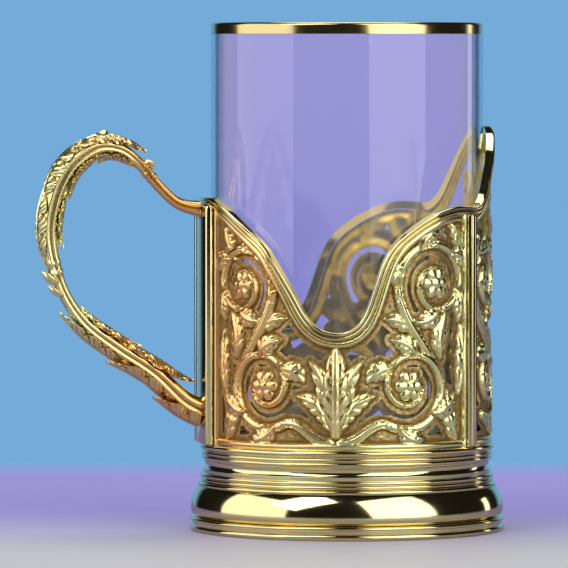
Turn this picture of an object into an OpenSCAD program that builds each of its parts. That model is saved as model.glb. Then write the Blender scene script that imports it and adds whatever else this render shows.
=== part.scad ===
// Tea glass holder with its glass: a cast openwork sleeve on a spun foot, with an ear-shaped handle.
// Millimetres. +Z is up, the glass stands on the Z axis, the foot rests on Z = 0, the handle points to -X.
// A place on the sleeve's wall is an arc length s, from the middle of the handle, and a height z.

/* [Glass] */
// Outside diameter of the tea glass
glass_d = 66.5; // [60:0.5:72]
// Height of the tea glass
glass_h = 105; // [90:1:120]
// Wall of the tea glass
glass_wall = 1.5; // [1.2:0.1:2.4]
// Thickness of the glass at its bottom
glass_floor = 5; // [3:0.5:8]
// Outer corner radius at the bottom of the glass
glass_corner = 2.4; // [1:0.2:4]
// Depth of the hollow under the glass
glass_dish = 0.6; // [0.2:0.1:1.2]
// Height of the gilt line at the lip
gilt_h = 2; // [1:0.25:4]
// Thickness of the gilt line
gilt_t = 0.15; // [0.1:0.05:0.3]

/* [Sleeve] */
// Clearance all round between the glass and the sleeve
glass_gap = 0.6; // [0.4:0.1:1]
// Thickness of the openwork casting, relief included
casting_t = 1.9; // [1.5:0.1:2.6]
// Height of the sleeve from the collar to the tip of its crest
sleeve_h = 77.5; // [66:0.5:84]
// Width of the bead along the wavy rim
rim_w = 2; // [1.4:0.1:2.8]
// Depth of the rim bead, from its back to its two ridges
rim_t = 2.1; // [1.6:0.1:2.8]
// Width of the plain borders of the panels
border_w = 1.7; // [1.2:0.1:2.4]
// Half width of the vine where it leaves the foot of a panel
vine_w = 1.35; // [0.9:0.05:1.7]
// Half width of an ordinary leaf
leaf_w = 2.5; // [1.8:0.1:3]
// Width of the cover strips over the seams
strip_w = 3.4; // [2.4:0.2:5]
// Thickness of the cover strips
strip_t = 1; // [0.6:0.1:1.6]
// Gap that solder fills between brazed pieces
solder = 0.08; // [0.05:0.01:0.15]

/* [Collar] */
// Height of the moulded collar under the sleeve
collar_h = 9.5; // [8.5:0.25:12]
// Radius of the large bead at the top of the collar
collar_bead = 0.8; // [0.5:0.1:1]
// Radius of the small reeds and beads of the collar
reed_r = 0.55; // [0.35:0.05:0.6]
// Thickness of the disc that the glass stands on
floor_t = 1.2; // [0.8:0.1:2]
// Depth of the disc's top below the top of the collar
floor_drop = 2.7; // [2:0.1:3.6]

/* [Foot] */
// Largest radius of the foot
foot_r = 38.4; // [37:0.2:42]
// Radius of the rounded belly of the foot
belly_r = 4.2; // [3.4:0.1:4.6]
// Thickness of the spun foot
foot_t = 1; // [0.7:0.1:1.4]
// Height of the ring that the foot stands on
ring_h = 3.4; // [2.6:0.1:4.5]
// Width of the ring's flat underside
ring_w = 3.6; // [2.6:0.1:4.4]

/* [Clamp] */
// Diameter of the screw that clamps the sleeve to the foot
screw_d = 5; // [4:0.5:6]
// Diameter of the screw's countersunk head
screw_head_d = 9.2; // [8:0.2:11]
// Height of the nut
nut_h = 4; // [3:0.25:4.5]
// Width of the nut across its flats
nut_w = 8; // [7:0.5:10]
// Clearance of the screw in its holes
screw_gap = 0.1; // [0.05:0.05:0.3]

/* [Handle] */
// How far the handle stands out from the sleeve
handle_reach = 40.5; // [32:0.5:46]
// Height of the handle, from its lower seat to its crown
handle_h = 66; // [54:1:70]
// Height of the handle's lower seat above the collar
handle_z = 8; // [5:0.5:12]
// Thickness of the slender parts of the handle, seen from the side
stem_t = 3.2; // [2.4:0.1:4.2]
// Depth of the handle, seen from behind
stem_depth = 5.4; // [4:0.2:7]
// Width of the leaves on the handle
handle_leaf_w = 9; // [7:0.25:11]
// Width of the plate that the handle is brazed to
plate_w = 15; // [11:0.5:18]
// Thickness of that plate
plate_t = 1.5; // [1:0.1:2]

/* [Hidden] */

// Radii
glass_r = glass_d / 2;
sleeve_in = glass_r + glass_gap;
sleeve_r = sleeve_in + casting_t;
collar_in = sleeve_in;
half_girth = PI * sleeve_r;
plate_r = sleeve_r + solder + plate_t;
belly_mid = foot_r - belly_r - foot_t * 0.2;

// Heights, from the floor up
belly_z = ring_h + belly_r;
foot_h = belly_z + belly_r + foot_t * 0.2;
sleeve_z = foot_h + collar_h;
floor_z = sleeve_z - floor_drop;
seat_gap = glass_gap / 3;
glass_z = floor_z + seat_gap;
crest_z = sleeve_z + sleeve_h;
web_z = foot_h - foot_t * 1.2;
washer_t = foot_t;
nut_z = web_z - washer_t - nut_h;
head_h = (screw_head_d - screw_d) / 2;
hole_d = screw_d + 2 * screw_gap;

// An overrun for cuts
over = foot_t;
turn_fn = 128;
gold = [0.83, 0.66, 0.33];
bright_gold = [0.90, 0.75, 0.42];
old_gold = [0.72, 0.56, 0.28];
steel = [0.62, 0.62, 0.60];
clear = [0.75, 0.80, 0.90, 0.35];

// The wavy rim: half its turn from the handle to the crest, as angles with shares of the sleeve's height
rim_shares = [
    [0, .775], [10, .775], [23, .738], [34, .687], [44, .630], [51, .552], [57, .478], [62, .405],
    [68, .370], [75, .362], [81, .380], [85.5, .432], [88.5, .520], [92, .600], [98, .657], [107, .705],
    [116, .737], [125, .752], [134, .750], [141, .746], [147, .782], [153, .850], [162, .930],
    [171, .978], [180, 1]
];
rim_blur_angle = 2.5;
seam_angle = 134.5;
seat_turn = plate_w / 2 / sleeve_r * 180 / PI;

function turn_of(s) = s / sleeve_r * 180 / PI;
function arc_of(turn) = turn / 180 * half_girth;
function unit(v) = v / norm(v);
function dir(a) = [cos(a), sin(a)];
function side(v) = [-v[1], v[0]];

// Height of the rim at an angle from the handle, smoothed over its neighbours
function fold(turn) = 180 - abs(180 - abs(turn));
function rim_share(turn) = lookup(fold(turn), rim_shares);
function blurred_share(turn) =
    (rim_share(turn - rim_blur_angle) + 2 * rim_share(turn) + rim_share(turn + rim_blur_angle)) / 4;
function rim_z(turn) = sleeve_z + sleeve_h * blurred_share(turn);
function rim_at(turn) = [arc_of(turn), rim_z(turn)];
// A point that lies a distance below the rim, square to it
function rim_below(turn, drop) = rim_at(turn) - side(unit(rim_at(turn + 1) - rim_at(turn - 1))) * drop;

// Turns at which the rim, and all that follows it, has its corners
rim_steps = 64;
function rim_turns(turn0, turn1) = concat(
    [turn0],
    [for (i = [0:rim_steps - 1]) let (t = 360 * i / rim_steps) if (t > turn0 + 1 && t < turn1 - 1) t],
    [turn1]
);

// A place on the wall, at radius r
function wall(p, r) = let (a = turn_of(p[0])) [-r * cos(a), -r * sin(a), p[1]];

// Faces of a skin round n rings of m points each
function skin_faces(n, m) = concat(
    [for (i = [0:n - 2], j = [0:m - 1]) let (k = (j + 1) % m) each
        [[i * m + j, i * m + k, (i + 1) * m + k], [i * m + j, (i + 1) * m + k, (i + 1) * m + j]]],
    [[for (j = [m - 1:-1:0]) j]], [[for (j = [0:m - 1]) (n - 1) * m + j]]
);
module skin(rings) {
    polyhedron([for (r = rings) each r], skin_faces(len(rings), len(rings[0])), convexity = 6);
}

function heading(c, i) = unit(c[min(i + 1, len(c) - 1)] - c[max(i - 1, 0)]);

// A flat-topped band on the wall along the line c, with half widths w
module band(c, w, back, face, top_share = 0.62) {
    skin([for (i = [0:len(c) - 1]) let (n = side(heading(c, i)) * w[i])
        [wall(c[i] + n, back), wall(c[i] - n, back), wall(c[i] - n * top_share, face),
         wall(c[i] + n * top_share, face)]]);
}

// A leaf on the wall along the line c: a roof with its ridge on the line, highest before the middle
leaf_steps = 3;
layer_share = .075;
function leaf_half(q) = pow(sin(180 * (.92 * q + .07)), .75);
function leaf_rise(q) = .45 + .55 * sin(180 * (.8 * q + .14));
module leaf(c, w, layer = 1) {
    n_last = len(c) - 1;
    back = sleeve_in + casting_t * layer_share * (1 + layer % 5);
    skin([for (i = [0:n_last]) let (q = i / n_last, n = side(heading(c, i)) * w * leaf_half(q))
        [wall(c[i] + n, back), wall(c[i] - n, back),
         wall(c[i], sleeve_in + casting_t * leaf_rise(q))]]);
}

// The vine is drawn on a sheet as high as the sleeve, where 1 is that height.
// Half the girth, as a share of that height:
sheet_share = 1.449;
function on_wall(p) = [p[0] / sheet_share * half_girth, sleeve_z + p[1] * sleeve_h];
function on_sheet(p) = [p[0] / half_girth * sheet_share, (p[1] - sleeve_z) / sleeve_h];

// Scrolls, as shares of the half girth, of the sleeve's height and of that height again for the radius,
// then the angle where the vine comes in, and the hand in which it winds
scroll_turns = 1.3;
scroll_steps = 13;
shrink_share = .7;
front_scroll_shares = [
    [.236, .197, .138, -62, -1], [.171, .507, .130, -15, 1],
    [.574, .197, .140, 242, 1], [.641, .515, .142, 195, -1]
];
crest_scroll_shares = [[.864, .194, .114, -110, 1], [.850, .515, .112, 165, -1]];
function scroll_of(row) = [row[0] * sheet_share, row[1], row[2], row[3], row[4]];
function scroll_turn(a, t) = a[3] + a[4] * scroll_turns * 360 * t;
function scroll_radius(a, t) = a[2] * (1 - shrink_share * t);
function scroll_at(a, t) = [a[0], a[1]] + dir(scroll_turn(a, t)) * scroll_radius(a, t);
function scroll_heading(a, t) = dir(scroll_turn(a, t) + a[4] * 90);

module scroll(a) {
    line = [for (i = [0:scroll_steps]) on_wall(scroll_at(a, i / scroll_steps))];
    band(line, [for (i = [0:scroll_steps]) vine_w * (.86 - .4 * i / scroll_steps)], sleeve_in, sleeve_r);
    rosette(on_wall([a[0], a[1]]), a[2] * .3 * sleeve_h);
}

// A leaf that leaves a scroll at share t of its length and curls off outwards
module scroll_leaf(a, t, grow, sweep, w, layer) {
    leaf([for (i = [0:leaf_steps]) let (
            q = i / leaf_steps,
            reach = scroll_radius(a, t) + a[2] * grow * pow(q, .85)
        ) on_wall([a[0], a[1]] + dir(scroll_turn(a, t) + a[4] * sweep * q) * reach)], w, layer);
}

// A free leaf from p on the sheet, of a length, a heading at its middle and a bend over its length
module free_leaf(p, length, heading_a, bend, w, layer) {
    step = length / leaf_steps;
    line = [for (i = [0:leaf_steps]) p + (i == 0 ? [0, 0] : step * sum_dirs(heading_a, bend, i - 1))];
    leaf([for (q = line) on_wall(q)], w, layer);
}
function sum_dirs(a, bend, k) =
    dir(a + bend * ((k + .5) / leaf_steps - .5)) + (k > 0 ? sum_dirs(a, bend, k - 1) : [0, 0]);

// A stem on the sheet from p to q that leaves along u and comes in along v
module stem(p, u, q, v, w0, w1) {
    steps = 8;
    reach = norm(q - p) * .42;
    line = [for (i = [0:steps]) let (t = i / steps, k = 1 - t)
        on_wall(k * k * k * p + 3 * k * k * t * (p + u * reach) + 3 * k * t * t * (q - v * reach)
                + t * t * t * q)];
    band(line, [for (i = [0:steps]) w0 + (w1 - w0) * i / steps], sleeve_in, sleeve_r - solder);
}

// A flower of four petals, at p on the wall: two crossed ridges, each with a petal at both ends
module rosette(p, r) {
    rotate([0, 0, 180 + turn_of(p[0])]) translate([sleeve_in, 0, p[1]]) rotate([0, 90, 0])
        for (k = [0, 1]) rotate([0, 0, 90 * k]) hull() {
            cylinder(r = r * .28, h = casting_t, $fn = 4);
            for (x = [-r, r]) translate([x * .8, 0, 0])
                cylinder(r1 = r * .6, r2 = r * .3, h = casting_t * .68, $fn = 4);
        }
}

// Borders of a panel from one turn to another: along the rim, along the collar and up both sides
module borders(turn0, turn1, side0, side1) {
    half = border_w / 2;
    turns = rim_turns(turn0, turn1);
    steps = ceil(len(turns) / 2);
    drop = rim_w + half;
    band([for (t = turns) rim_below(t, drop)], [for (t = turns) half], sleeve_in, sleeve_r - solder, .8);
    low_z = sleeve_z + half;
    low_turns = [for (i = [0:steps]) turn0 + (turn1 - turn0) * i / steps];
    band([for (t = low_turns) [arc_of(t), low_z]], [for (t = low_turns) half], sleeve_in, sleeve_r - solder,
         1);
    upright(turn0, side0);
    upright(turn1, -side1);
}
// All the room for a panel below the rim bead, from one turn to another
module below_rim(turn0, turn1) {
    skin([for (t = rim_turns(turn0, turn1)) let (p = rim_below(t, rim_w + solder), low = [p[0], sleeve_z])
        [wall(p, sleeve_in - over), wall(low, sleeve_in - over),
         wall(low, sleeve_r + over), wall(p, sleeve_r + over)]]);
}
// An upright border from the collar to the rim, of the given width to the right of a turn
module upright(turn, width) {
    s0 = arc_of(turn);
    parts = max(1, ceil(abs(width) / border_w / 2));
    for (k = [0:parts - 1]) {
        x = s0 + width * (k + .5) / parts;
        half = abs(width) / parts / 2;
        z1 = rim_below(turn_of(x), rim_w + border_w / 2)[1];
        band([[x, sleeve_z + solder], [x, z1]], [half, half], sleeve_in, sleeve_r - solder, 1);
    }
}

// Places along a scroll where leaves stand, as shares of its length
low_leaf_shares = [.03, .16, .42, .55];
high_leaf_shares = [.03, .17, .31, .45, .6];
branch_share = .316;
crest_branch_share = .33;
crest_leaf_shares = [.04, .2, .45];

// A low scroll that springs from the foot of the panel, and a high one that branches from it
module vine_pair(low, high, root, out) {
    scroll(low);
    scroll(high);
    stem(root, [out, 0], scroll_at(low, 0), scroll_heading(low, 0), vine_w, vine_w * .86);
    stem(scroll_at(low, branch_share), scroll_heading(low, branch_share),
         scroll_at(high, 0), scroll_heading(high, 0), vine_w * .8, vine_w * .86);
    for (k = [0:len(low_leaf_shares) - 1])
        scroll_leaf(low, low_leaf_shares[k], .42, 36, leaf_w, 1 + k % 2);
    for (k = [0:len(high_leaf_shares) - 1])
        scroll_leaf(high, high_leaf_shares[k], .42, 36, leaf_w, 1 + k % 2);
}

// Fans of leaves: length as a share of the sleeve's height, heading, bend, and width as a share of a leaf's
centre_fan_shares = [
    [.285, 90, 0, 1.3], [.25, 110, 40, 1.1], [.25, 70, -40, 1.1], [.19, 136, 70, 1], [.19, 44, -70, 1]
];
crest_fan_shares = [
    [.39, 90, 0, 1.5], [.34, 105, 32, 1.3], [.34, 75, -32, 1.3], [.27, 124, 60, 1.15], [.27, 56, -60, 1.15]
];
low_fan_shares = [
    [.33, 90, 0, 1.35], [.27, 110, 44, 1.15], [.27, 70, -44, 1.15], [.19, 134, 74, 1], [.19, 46, -74, 1]
];
module fan(p, rows) {
    for (k = [0:len(rows) - 1])
        free_leaf(p, rows[k][0], rows[k][1], rows[k][2], rows[k][3] * leaf_w, k);
}

// Single leaves that fill the corners of the front panel: place, length, heading, bend, width, all as shares
front_leaf_shares = [
    [.115, .02, .17, 75, 30, 1], [.112, .17, .20, 92, -20, .9], [.112, .68, .12, -60, 20, .85],
    [.705, .02, .17, 105, -30, 1], [.712, .17, .22, 88, 20, .9], [.685, .70, .12, -60, -20, .85],
    [.150, .285, .15, 100, 55, 1], [.655, .285, .15, 80, -55, 1],
    [.205, .36, .14, 20, -40, .95], [.600, .36, .14, 160, 40, .95]
];

module panel() {
    turn0 = turn_of(solder * 3);
    turn1 = seam_angle - turn_of(solder * 2);
    mid = (front_scroll_shares[0][0] + front_scroll_shares[2][0]) / 2 * half_girth;
    scrolls = [for (row = front_scroll_shares) scroll_of(row)];
    root = sleeve_z + border_w;
    intersection() {
        union() {
            borders(turn0, turn1, plate_w / 2 + border_w * .6, strip_w / 2 + border_w * .4);
            vine_pair(scrolls[0], scrolls[1], on_sheet([mid - vine_w, root]), -1);
            vine_pair(scrolls[2], scrolls[3], on_sheet([mid + vine_w, root]), 1);
            band([[mid, sleeve_z + solder], [mid, root + 2 * border_w]], [vine_w, vine_w], sleeve_in,
                 sleeve_r - solder);
            fan(on_sheet([mid, root + border_w]), centre_fan_shares);
            for (k = [0:len(front_leaf_shares) - 1]) {
                r = front_leaf_shares[k];
                free_leaf([r[0] * sheet_share, r[1]], r[2], r[3], r[4], r[5] * leaf_w, k);
            }
        }
        below_rim(turn0, turn1);
    }
}
module panel_front() {
    color(gold) panel();
}
module panel_back() {
    color(gold) mirror([0, 1, 0]) panel();
}

// The crest opposite the handle, symmetrical about its own middle
module crest_half() {
    low = scroll_of(crest_scroll_shares[0]);
    high = scroll_of(crest_scroll_shares[1]);
    scroll(low);
    scroll(high);
    root = on_sheet([half_girth - vine_w, sleeve_z + border_w]);
    stem(root, [-1, 0], scroll_at(low, 0), scroll_heading(low, 0), vine_w, vine_w * .86);
    stem(scroll_at(low, crest_branch_share), scroll_heading(low, crest_branch_share),
         scroll_at(high, 0), scroll_heading(high, 0), vine_w * .8, vine_w * .86);
    for (k = [0:len(crest_leaf_shares) - 1], a = [low, high])
        scroll_leaf(a, crest_leaf_shares[k], .5, 40, leaf_w, 1 + k % 2);
}
module crest_panel() {
    turn0 = seam_angle + turn_of(solder * 2);
    root = on_sheet([half_girth, sleeve_z + border_w]);
    high = [sheet_share, .51];
    color(gold) intersection() {
        union() {
            borders(turn0, 360 - turn0, strip_w / 2 + border_w * .4, strip_w / 2 + border_w * .4);
            crest_half();
            mirror([0, 1, 0]) crest_half();
            stem(root, [0, 1], high, [0, 1], vine_w, vine_w * .8);
            fan(high, crest_fan_shares);
            fan([sheet_share, .11], low_fan_shares);
        }
        below_rim(turn0, 360 - turn0);
    }
}

// Strips that cover the seams between the panels
module seam_strip(turn) {
    half = turn_of(strip_w / 2);
    r0 = sleeve_r + solder;
    z0 = sleeve_z + solder;
    z1 = rim_z(turn) - rim_w - solder;
    rotate([0, 0, turn]) {
        arc_block(half, r0, r0 + strip_t * .6, z0, z1);
        arc_block(half * .5, r0, r0 + strip_t, z0, z1);
    }
}
module seam_strip_front() {
    color(bright_gold) seam_strip(seam_angle);
}
module seam_strip_back() {
    color(bright_gold) mirror([0, 1, 0]) seam_strip(seam_angle);
}

// The rim bead's section, as shares of its half width and its depth
bead_shares = [[1, 0], [-1, 0], [-1, .7], [-.62, 1], [0, .72], [.62, 1], [1, .7]];
// The bead round the wavy rim: two ridges with a groove between them
module rim_bead() {
    back = sleeve_r - rim_t + casting_t * .2;
    half = (rim_w - solder) / 2;
    rings = [for (i = [0:rim_steps - 1]) let (
        t = 360 * i / rim_steps,
        p = rim_below(t, half),
        n = side(unit(rim_at(t + 1) - rim_at(t - 1))) * half
    ) [for (q = bead_shares) wall(p + n * q[0], back + rim_t * q[1])]];
    m = len(bead_shares);
    faces = [for (i = [0:rim_steps - 1], j = [0:m - 1])
        let (k = (j + 1) % m, a = i * m, b = (i + 1) % rim_steps * m)
        each [[a + j, a + k, b + k], [a + j, b + k, b + j]]];
    color(bright_gold) polyhedron([for (r = rings) each r], faces, convexity = 8);
}

// Plate over the seam by the handle, with a raised edge down each side
module handle_plate() {
    z0 = sleeve_z + solder;
    z1 = rim_z(0) - rim_w - solder;
    color(gold) difference() {
        arc_block(seat_turn, sleeve_r + solder, plate_r, z0, z1);
        arc_block(seat_turn * .86, plate_r - plate_t * .3, plate_r + over, z0 - over, z1 + over);
    }
}
// A piece of tube about the handle's middle, as far as a turn to both sides
module arc_block(turn, r0, r1, z0, z1) {
    rotate([0, 0, 180 - turn]) rotate_extrude(angle = 2 * turn, $fn = turn_fn) bar(r0, r1, z0, z1);
}

// The handle's line, from its lower seat over its crown to the rim: shares of its reach and of its height,
// then its thickness and its depth as shares of the slender stem's
handle_shares = [
    [-.06, -.01, 1.9, 1.5], [.10, .035, 1.6, 1.35], [.31, .143, 1.35, 1.2], [.57, .240, 1.25, 1.1],
    [.78, .335, 1.05, 1], [.925, .465, .95, .95], [1, .635, 1.2, 1], [.975, .775, 1.35, 1.15],
    [.875, .895, 1.4, 1.2], [.70, .968, 1.25, 1.1], [.535, .966, 1, 1], [.40, .912, .9, .95],
    [.25, .818, .85, .9], [.125, .762, .95, 1], [-.06, .74, 1.4, 1.25]
];
line_reach = handle_reach - plate_t - 2 * solder - stem_t * .6;
seat_r = plate_r + solder;
function handle_knot(i) = let (r = handle_shares[max(0, min(len(handle_shares) - 1, i))])
    [seat_r + r[0] * line_reach, sleeve_z + handle_z + r[1] * handle_h, r[2] * stem_t, r[3] * stem_depth];
// Smooth line through the knots: u counts knots from the lower seat
function handle_at(u) = let (
        i = min(floor(u), len(handle_shares) - 2), f = u - i,
        a = handle_knot(i - 1), b = handle_knot(i), c = handle_knot(i + 1), d = handle_knot(i + 2)
    ) (2 * b + (c - a) * f + (2 * a - 5 * b + 4 * c - d) * f * f + (3 * b - a - 3 * c + d) * f * f * f) / 2;
function handle_heading(u) = let (a = handle_at(u - .05), b = handle_at(u + .05))
    unit([b[0] - a[0], b[1] - a[1]]);
// A place by the handle's line: lift is square to the line on its outer side, across is along Y
function by_handle(u, lift, across) = let (p = handle_at(u), n = side(handle_heading(u)))
    [-(p[0] - n[0] * lift), across, p[1] - n[1] * lift];

last_knot = len(handle_shares) - 1;
module handle_stem() {
    steps = 26;
    sides = 8;
    skin([for (i = [0:steps]) let (u = min(last_knot, max(0, last_knot * i / steps)), p = handle_at(u))
        [for (j = [0:sides - 1]) let (a = 360 * (j + .5) / sides)
            by_handle(u, p[2] / 2 * cos(a), p[3] / 2 * sin(a))]]);
}

// A leaf laid along the handle from u0 to u1, on the outer side or, with hand -1, on the inner side
module handle_leaf(u0, u1, hand, curl, width) {
    steps = 4;
    skin([for (i = [0:steps]) let (
            q = i / steps, u = u0 + (u1 - u0) * q, p = handle_at(u), half = width / 2 * leaf_half(q),
            lift = p[2] / 2 + curl * q * q, flip = (u1 > u0 ? 1 : -1) * hand
        ) [by_handle(u, hand * (lift - stem_t * .5), flip * half),
           by_handle(u, hand * (lift - stem_t * .5), -flip * half),
           by_handle(u, hand * (lift + stem_t * .3 * leaf_rise(q)), 0)]]);
}

// A pair of lobes that stand out on both sides of a leaf, at u along the handle
module lobes(u, hand, size) {
    p = handle_at(u);
    for (flank = [-1, 1]) hull() {
        translate(by_handle(u, hand * p[2] * .2, flank * p[3] * .25)) sphere(r = size * .55, $fn = 6);
        translate(by_handle(u + .2, hand * (p[2] * .5 + size * .1), flank * (p[3] * .5 + size * .1)))
            sphere(r = size * .42, $fn = 6);
    }
}

module handle() {
    color(gold) difference() {
        union() {
            handle_stem();
            handle_leaf(.15, 3.1, 1, stem_t * .8, handle_leaf_w);
            handle_leaf(2.6, 5.2, 1, stem_t * .45, handle_leaf_w * .85);
            handle_leaf(3.6, 1.5, -1, stem_t * .9, handle_leaf_w * .8);
            handle_leaf(5.4, 8.6, 1, stem_t * .25, handle_leaf_w * .8);
            handle_leaf(8.9, 11.2, 1, stem_t * .5, handle_leaf_w * .75);
            handle_leaf(10.2, 8.2, -1, stem_t * .5, handle_leaf_w * .6);
            for (u = [.5, 1.5, 2.5]) lobes(u, 1, stem_t);
            lobes(7.2, 1, stem_t * .8);
            hull() {
                translate(by_handle(9.3, stem_t * .5, 0)) sphere(r = stem_t * .5, $fn = 6);
                translate(by_handle(9.5, stem_t * 1.2, 0)) sphere(r = stem_t * .38, $fn = 6);
            }
        }
        // Both feet of the handle follow the round of the plate
        translate([0, 0, sleeve_z]) cylinder(r = seat_r, h = crest_z - sleeve_z, $fn = turn_fn);
    }
}

// Turned parts are drawn as half sections: x is the radius, y the height
module bead(r, z, size) {
    translate([r, z]) circle(r = size, $fn = turn_fn / 2);
}
module bar(r0, r1, z0, z1) {
    translate([r0, z0]) square([r1 - r0, z1 - z0]);
}

// The collar: beads, a cove and reeds outside, and a ledge for the glass's floor inside
module collar() {
    wall_r = sleeve_r - collar_bead * .6;
    top_z = sleeve_z;
    reed_step = reed_r * 1.9;
    cove_z = foot_h + collar_h * .44;
    cove_r = collar_h * .16;
    ledge_w = floor_t * 1.6;
    color(old_gold) rotate_extrude($fn = turn_fn) difference() {
        union() {
            bar(collar_in - ledge_w, wall_r, foot_h, top_z);
            bead(wall_r, top_z - collar_bead, collar_bead);
            bead(wall_r - reed_r * .3, top_z - 2 * collar_bead - reed_step * .75, reed_r);
            bead(wall_r - reed_r * .3, top_z - 2 * collar_bead - reed_step * 1.75, reed_r);
            bead(wall_r, foot_h + reed_r, reed_r);
            bead(wall_r + reed_r * .3, foot_h + reed_r + reed_step, reed_r);
        }
        bar(collar_in - ledge_w - over, collar_in, floor_z - floor_t, top_z + over);
        bead(wall_r + cove_r * .62, cove_z, cove_r);
    }
}

// The disc that the glass stands on, countersunk for the screw
module floor_disc() {
    color(old_gold) difference() {
        translate([0, 0, floor_z - floor_t]) cylinder(r = collar_in - solder, h = floor_t, $fn = turn_fn);
        screw_hole(floor_z - floor_t, floor_t);
        translate([0, 0, floor_z - head_h])
            cylinder(d1 = hole_d, d2 = screw_head_d + 2 * screw_gap, h = head_h + solder, $fn = turn_fn);
    }
}
// The hole for the screw through a piece from height z
module screw_hole(z, thickness) {
    translate([0, 0, z - over]) cylinder(d = hole_d, h = thickness + 2 * over, $fn = turn_fn);
}

// The screw goes down through the floor disc and the foot, and shows past the nut
module clamp_screw() {
    head_z = floor_z - head_h;
    end_z = nut_z - foot_t * .8;
    slot_w = screw_d * .22;
    color(steel) difference() {
        union() {
            translate([0, 0, end_z]) cylinder(d = screw_d, h = head_z - end_z, $fn = turn_fn);
            translate([0, 0, head_z]) cylinder(d1 = screw_d, d2 = screw_head_d, h = head_h, $fn = turn_fn);
        }
        translate([-screw_head_d, -slot_w / 2, floor_z - head_h * .45])
            cube([2 * screw_head_d, slot_w, head_h]);
    }
}
module clamp_washer() {
    color(steel) difference() {
        translate([0, 0, web_z - washer_t]) cylinder(d = nut_w * 1.7, h = washer_t, $fn = turn_fn);
        screw_hole(web_z - washer_t, washer_t);
    }
}
module clamp_nut() {
    color(steel) translate([0, 0, nut_z]) difference() {
        cylinder(d = nut_w / cos(30), h = nut_h, $fn = 6);
        translate([0, 0, -over]) cylinder(d = screw_d + screw_gap, h = nut_h + 2 * over, $fn = turn_fn);
    }
}

// The foot: spun sheet with a round belly, a flange on the ring and a web under the collar
module foot() {
    color(old_gold) rotate_extrude($fn = turn_fn) union() {
        difference() {
            bead(belly_mid, belly_z, belly_r);
            bead(belly_mid, belly_z, belly_r - foot_t);
            bar(belly_mid - belly_r - over, belly_mid, ring_h - over, foot_h + over);
        }
        bar(belly_mid - foot_t, belly_mid + belly_r * .35, ring_h, ring_h + foot_t * .7);
        bar(hole_d / 2, belly_mid + belly_r * .3, web_z, foot_h);
    }
}
// The ring under the foot, with a ridge at its top, a groove and a bead at its base
module foot_ring() {
    ridge_r = ring_h * .16;
    base_r = ring_h * .24;
    outer = foot_r - ridge_r;
    color(old_gold) rotate_extrude($fn = turn_fn) difference() {
        union() {
            bar(foot_r - ring_w - base_r, outer, 0, ring_h);
            bead(outer, ring_h - ridge_r, ridge_r);
            bead(foot_r - base_r, base_r, base_r);
        }
        bead(foot_r + ridge_r * .4, ring_h * .58, ridge_r * 1.05);
    }
}

// Half section of the glass's outside or, with a smaller skin, of what the gilt line leaves of it
module glass_wall_section(cut) {
    lip = glass_wall / 2;
    lip_z = glass_h - lip;
    difference() {
        union() {
            bar(0, glass_r - glass_corner, 0, lip_z);
            bar(0, glass_r, glass_corner, lip_z - gilt_h);
            bar(0, glass_r - cut, lip_z - gilt_h, lip_z);
            bead(glass_r - glass_corner, glass_corner, glass_corner);
        }
        bar(-over, glass_r - glass_wall - glass_corner, glass_floor, glass_h);
        bar(-over, glass_r - glass_wall, glass_floor + glass_corner, glass_h);
        bead(glass_r - glass_wall - glass_corner, glass_floor + glass_corner, glass_corner);
        bar(-glass_r, 0, -over, glass_h);
    }
    bead(glass_r - lip, lip_z, lip - cut);
}
// A thin straight glass with a heavy bottom, a little hollow underneath
module tea_glass() {
    dish_r = glass_r - 2 * glass_corner;
    color(clear) translate([0, 0, glass_z]) rotate_extrude($fn = turn_fn) difference() {
        glass_wall_section(gilt_t);
        polygon([[0, -over], [dish_r, -over], [dish_r, 0], [dish_r * .8, glass_dish * .75], [0, glass_dish]]);
    }
}
module gilt_line() {
    lip = glass_wall / 2;
    lip_z = glass_h - lip;
    color(bright_gold) translate([0, 0, glass_z]) rotate_extrude($fn = turn_fn) union() {
        bar(glass_r - gilt_t, glass_r, lip_z - gilt_h, lip_z);
        difference() {
            bead(glass_r - lip, lip_z, lip);
            bead(glass_r - lip, lip_z, lip - gilt_t);
            bar(0, glass_r + over, lip_z - glass_wall, lip_z);
        }
    }
}

foot();
foot_ring();
collar();
floor_disc();
clamp_screw();
clamp_washer();
clamp_nut();
panel_front();
panel_back();
crest_panel();
seam_strip_front();
seam_strip_back();
rim_bead();
handle_plate();
handle();
tea_glass();
gilt_line();
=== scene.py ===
import math

import bpy
import numpy as np
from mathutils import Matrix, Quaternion, Vector


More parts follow.
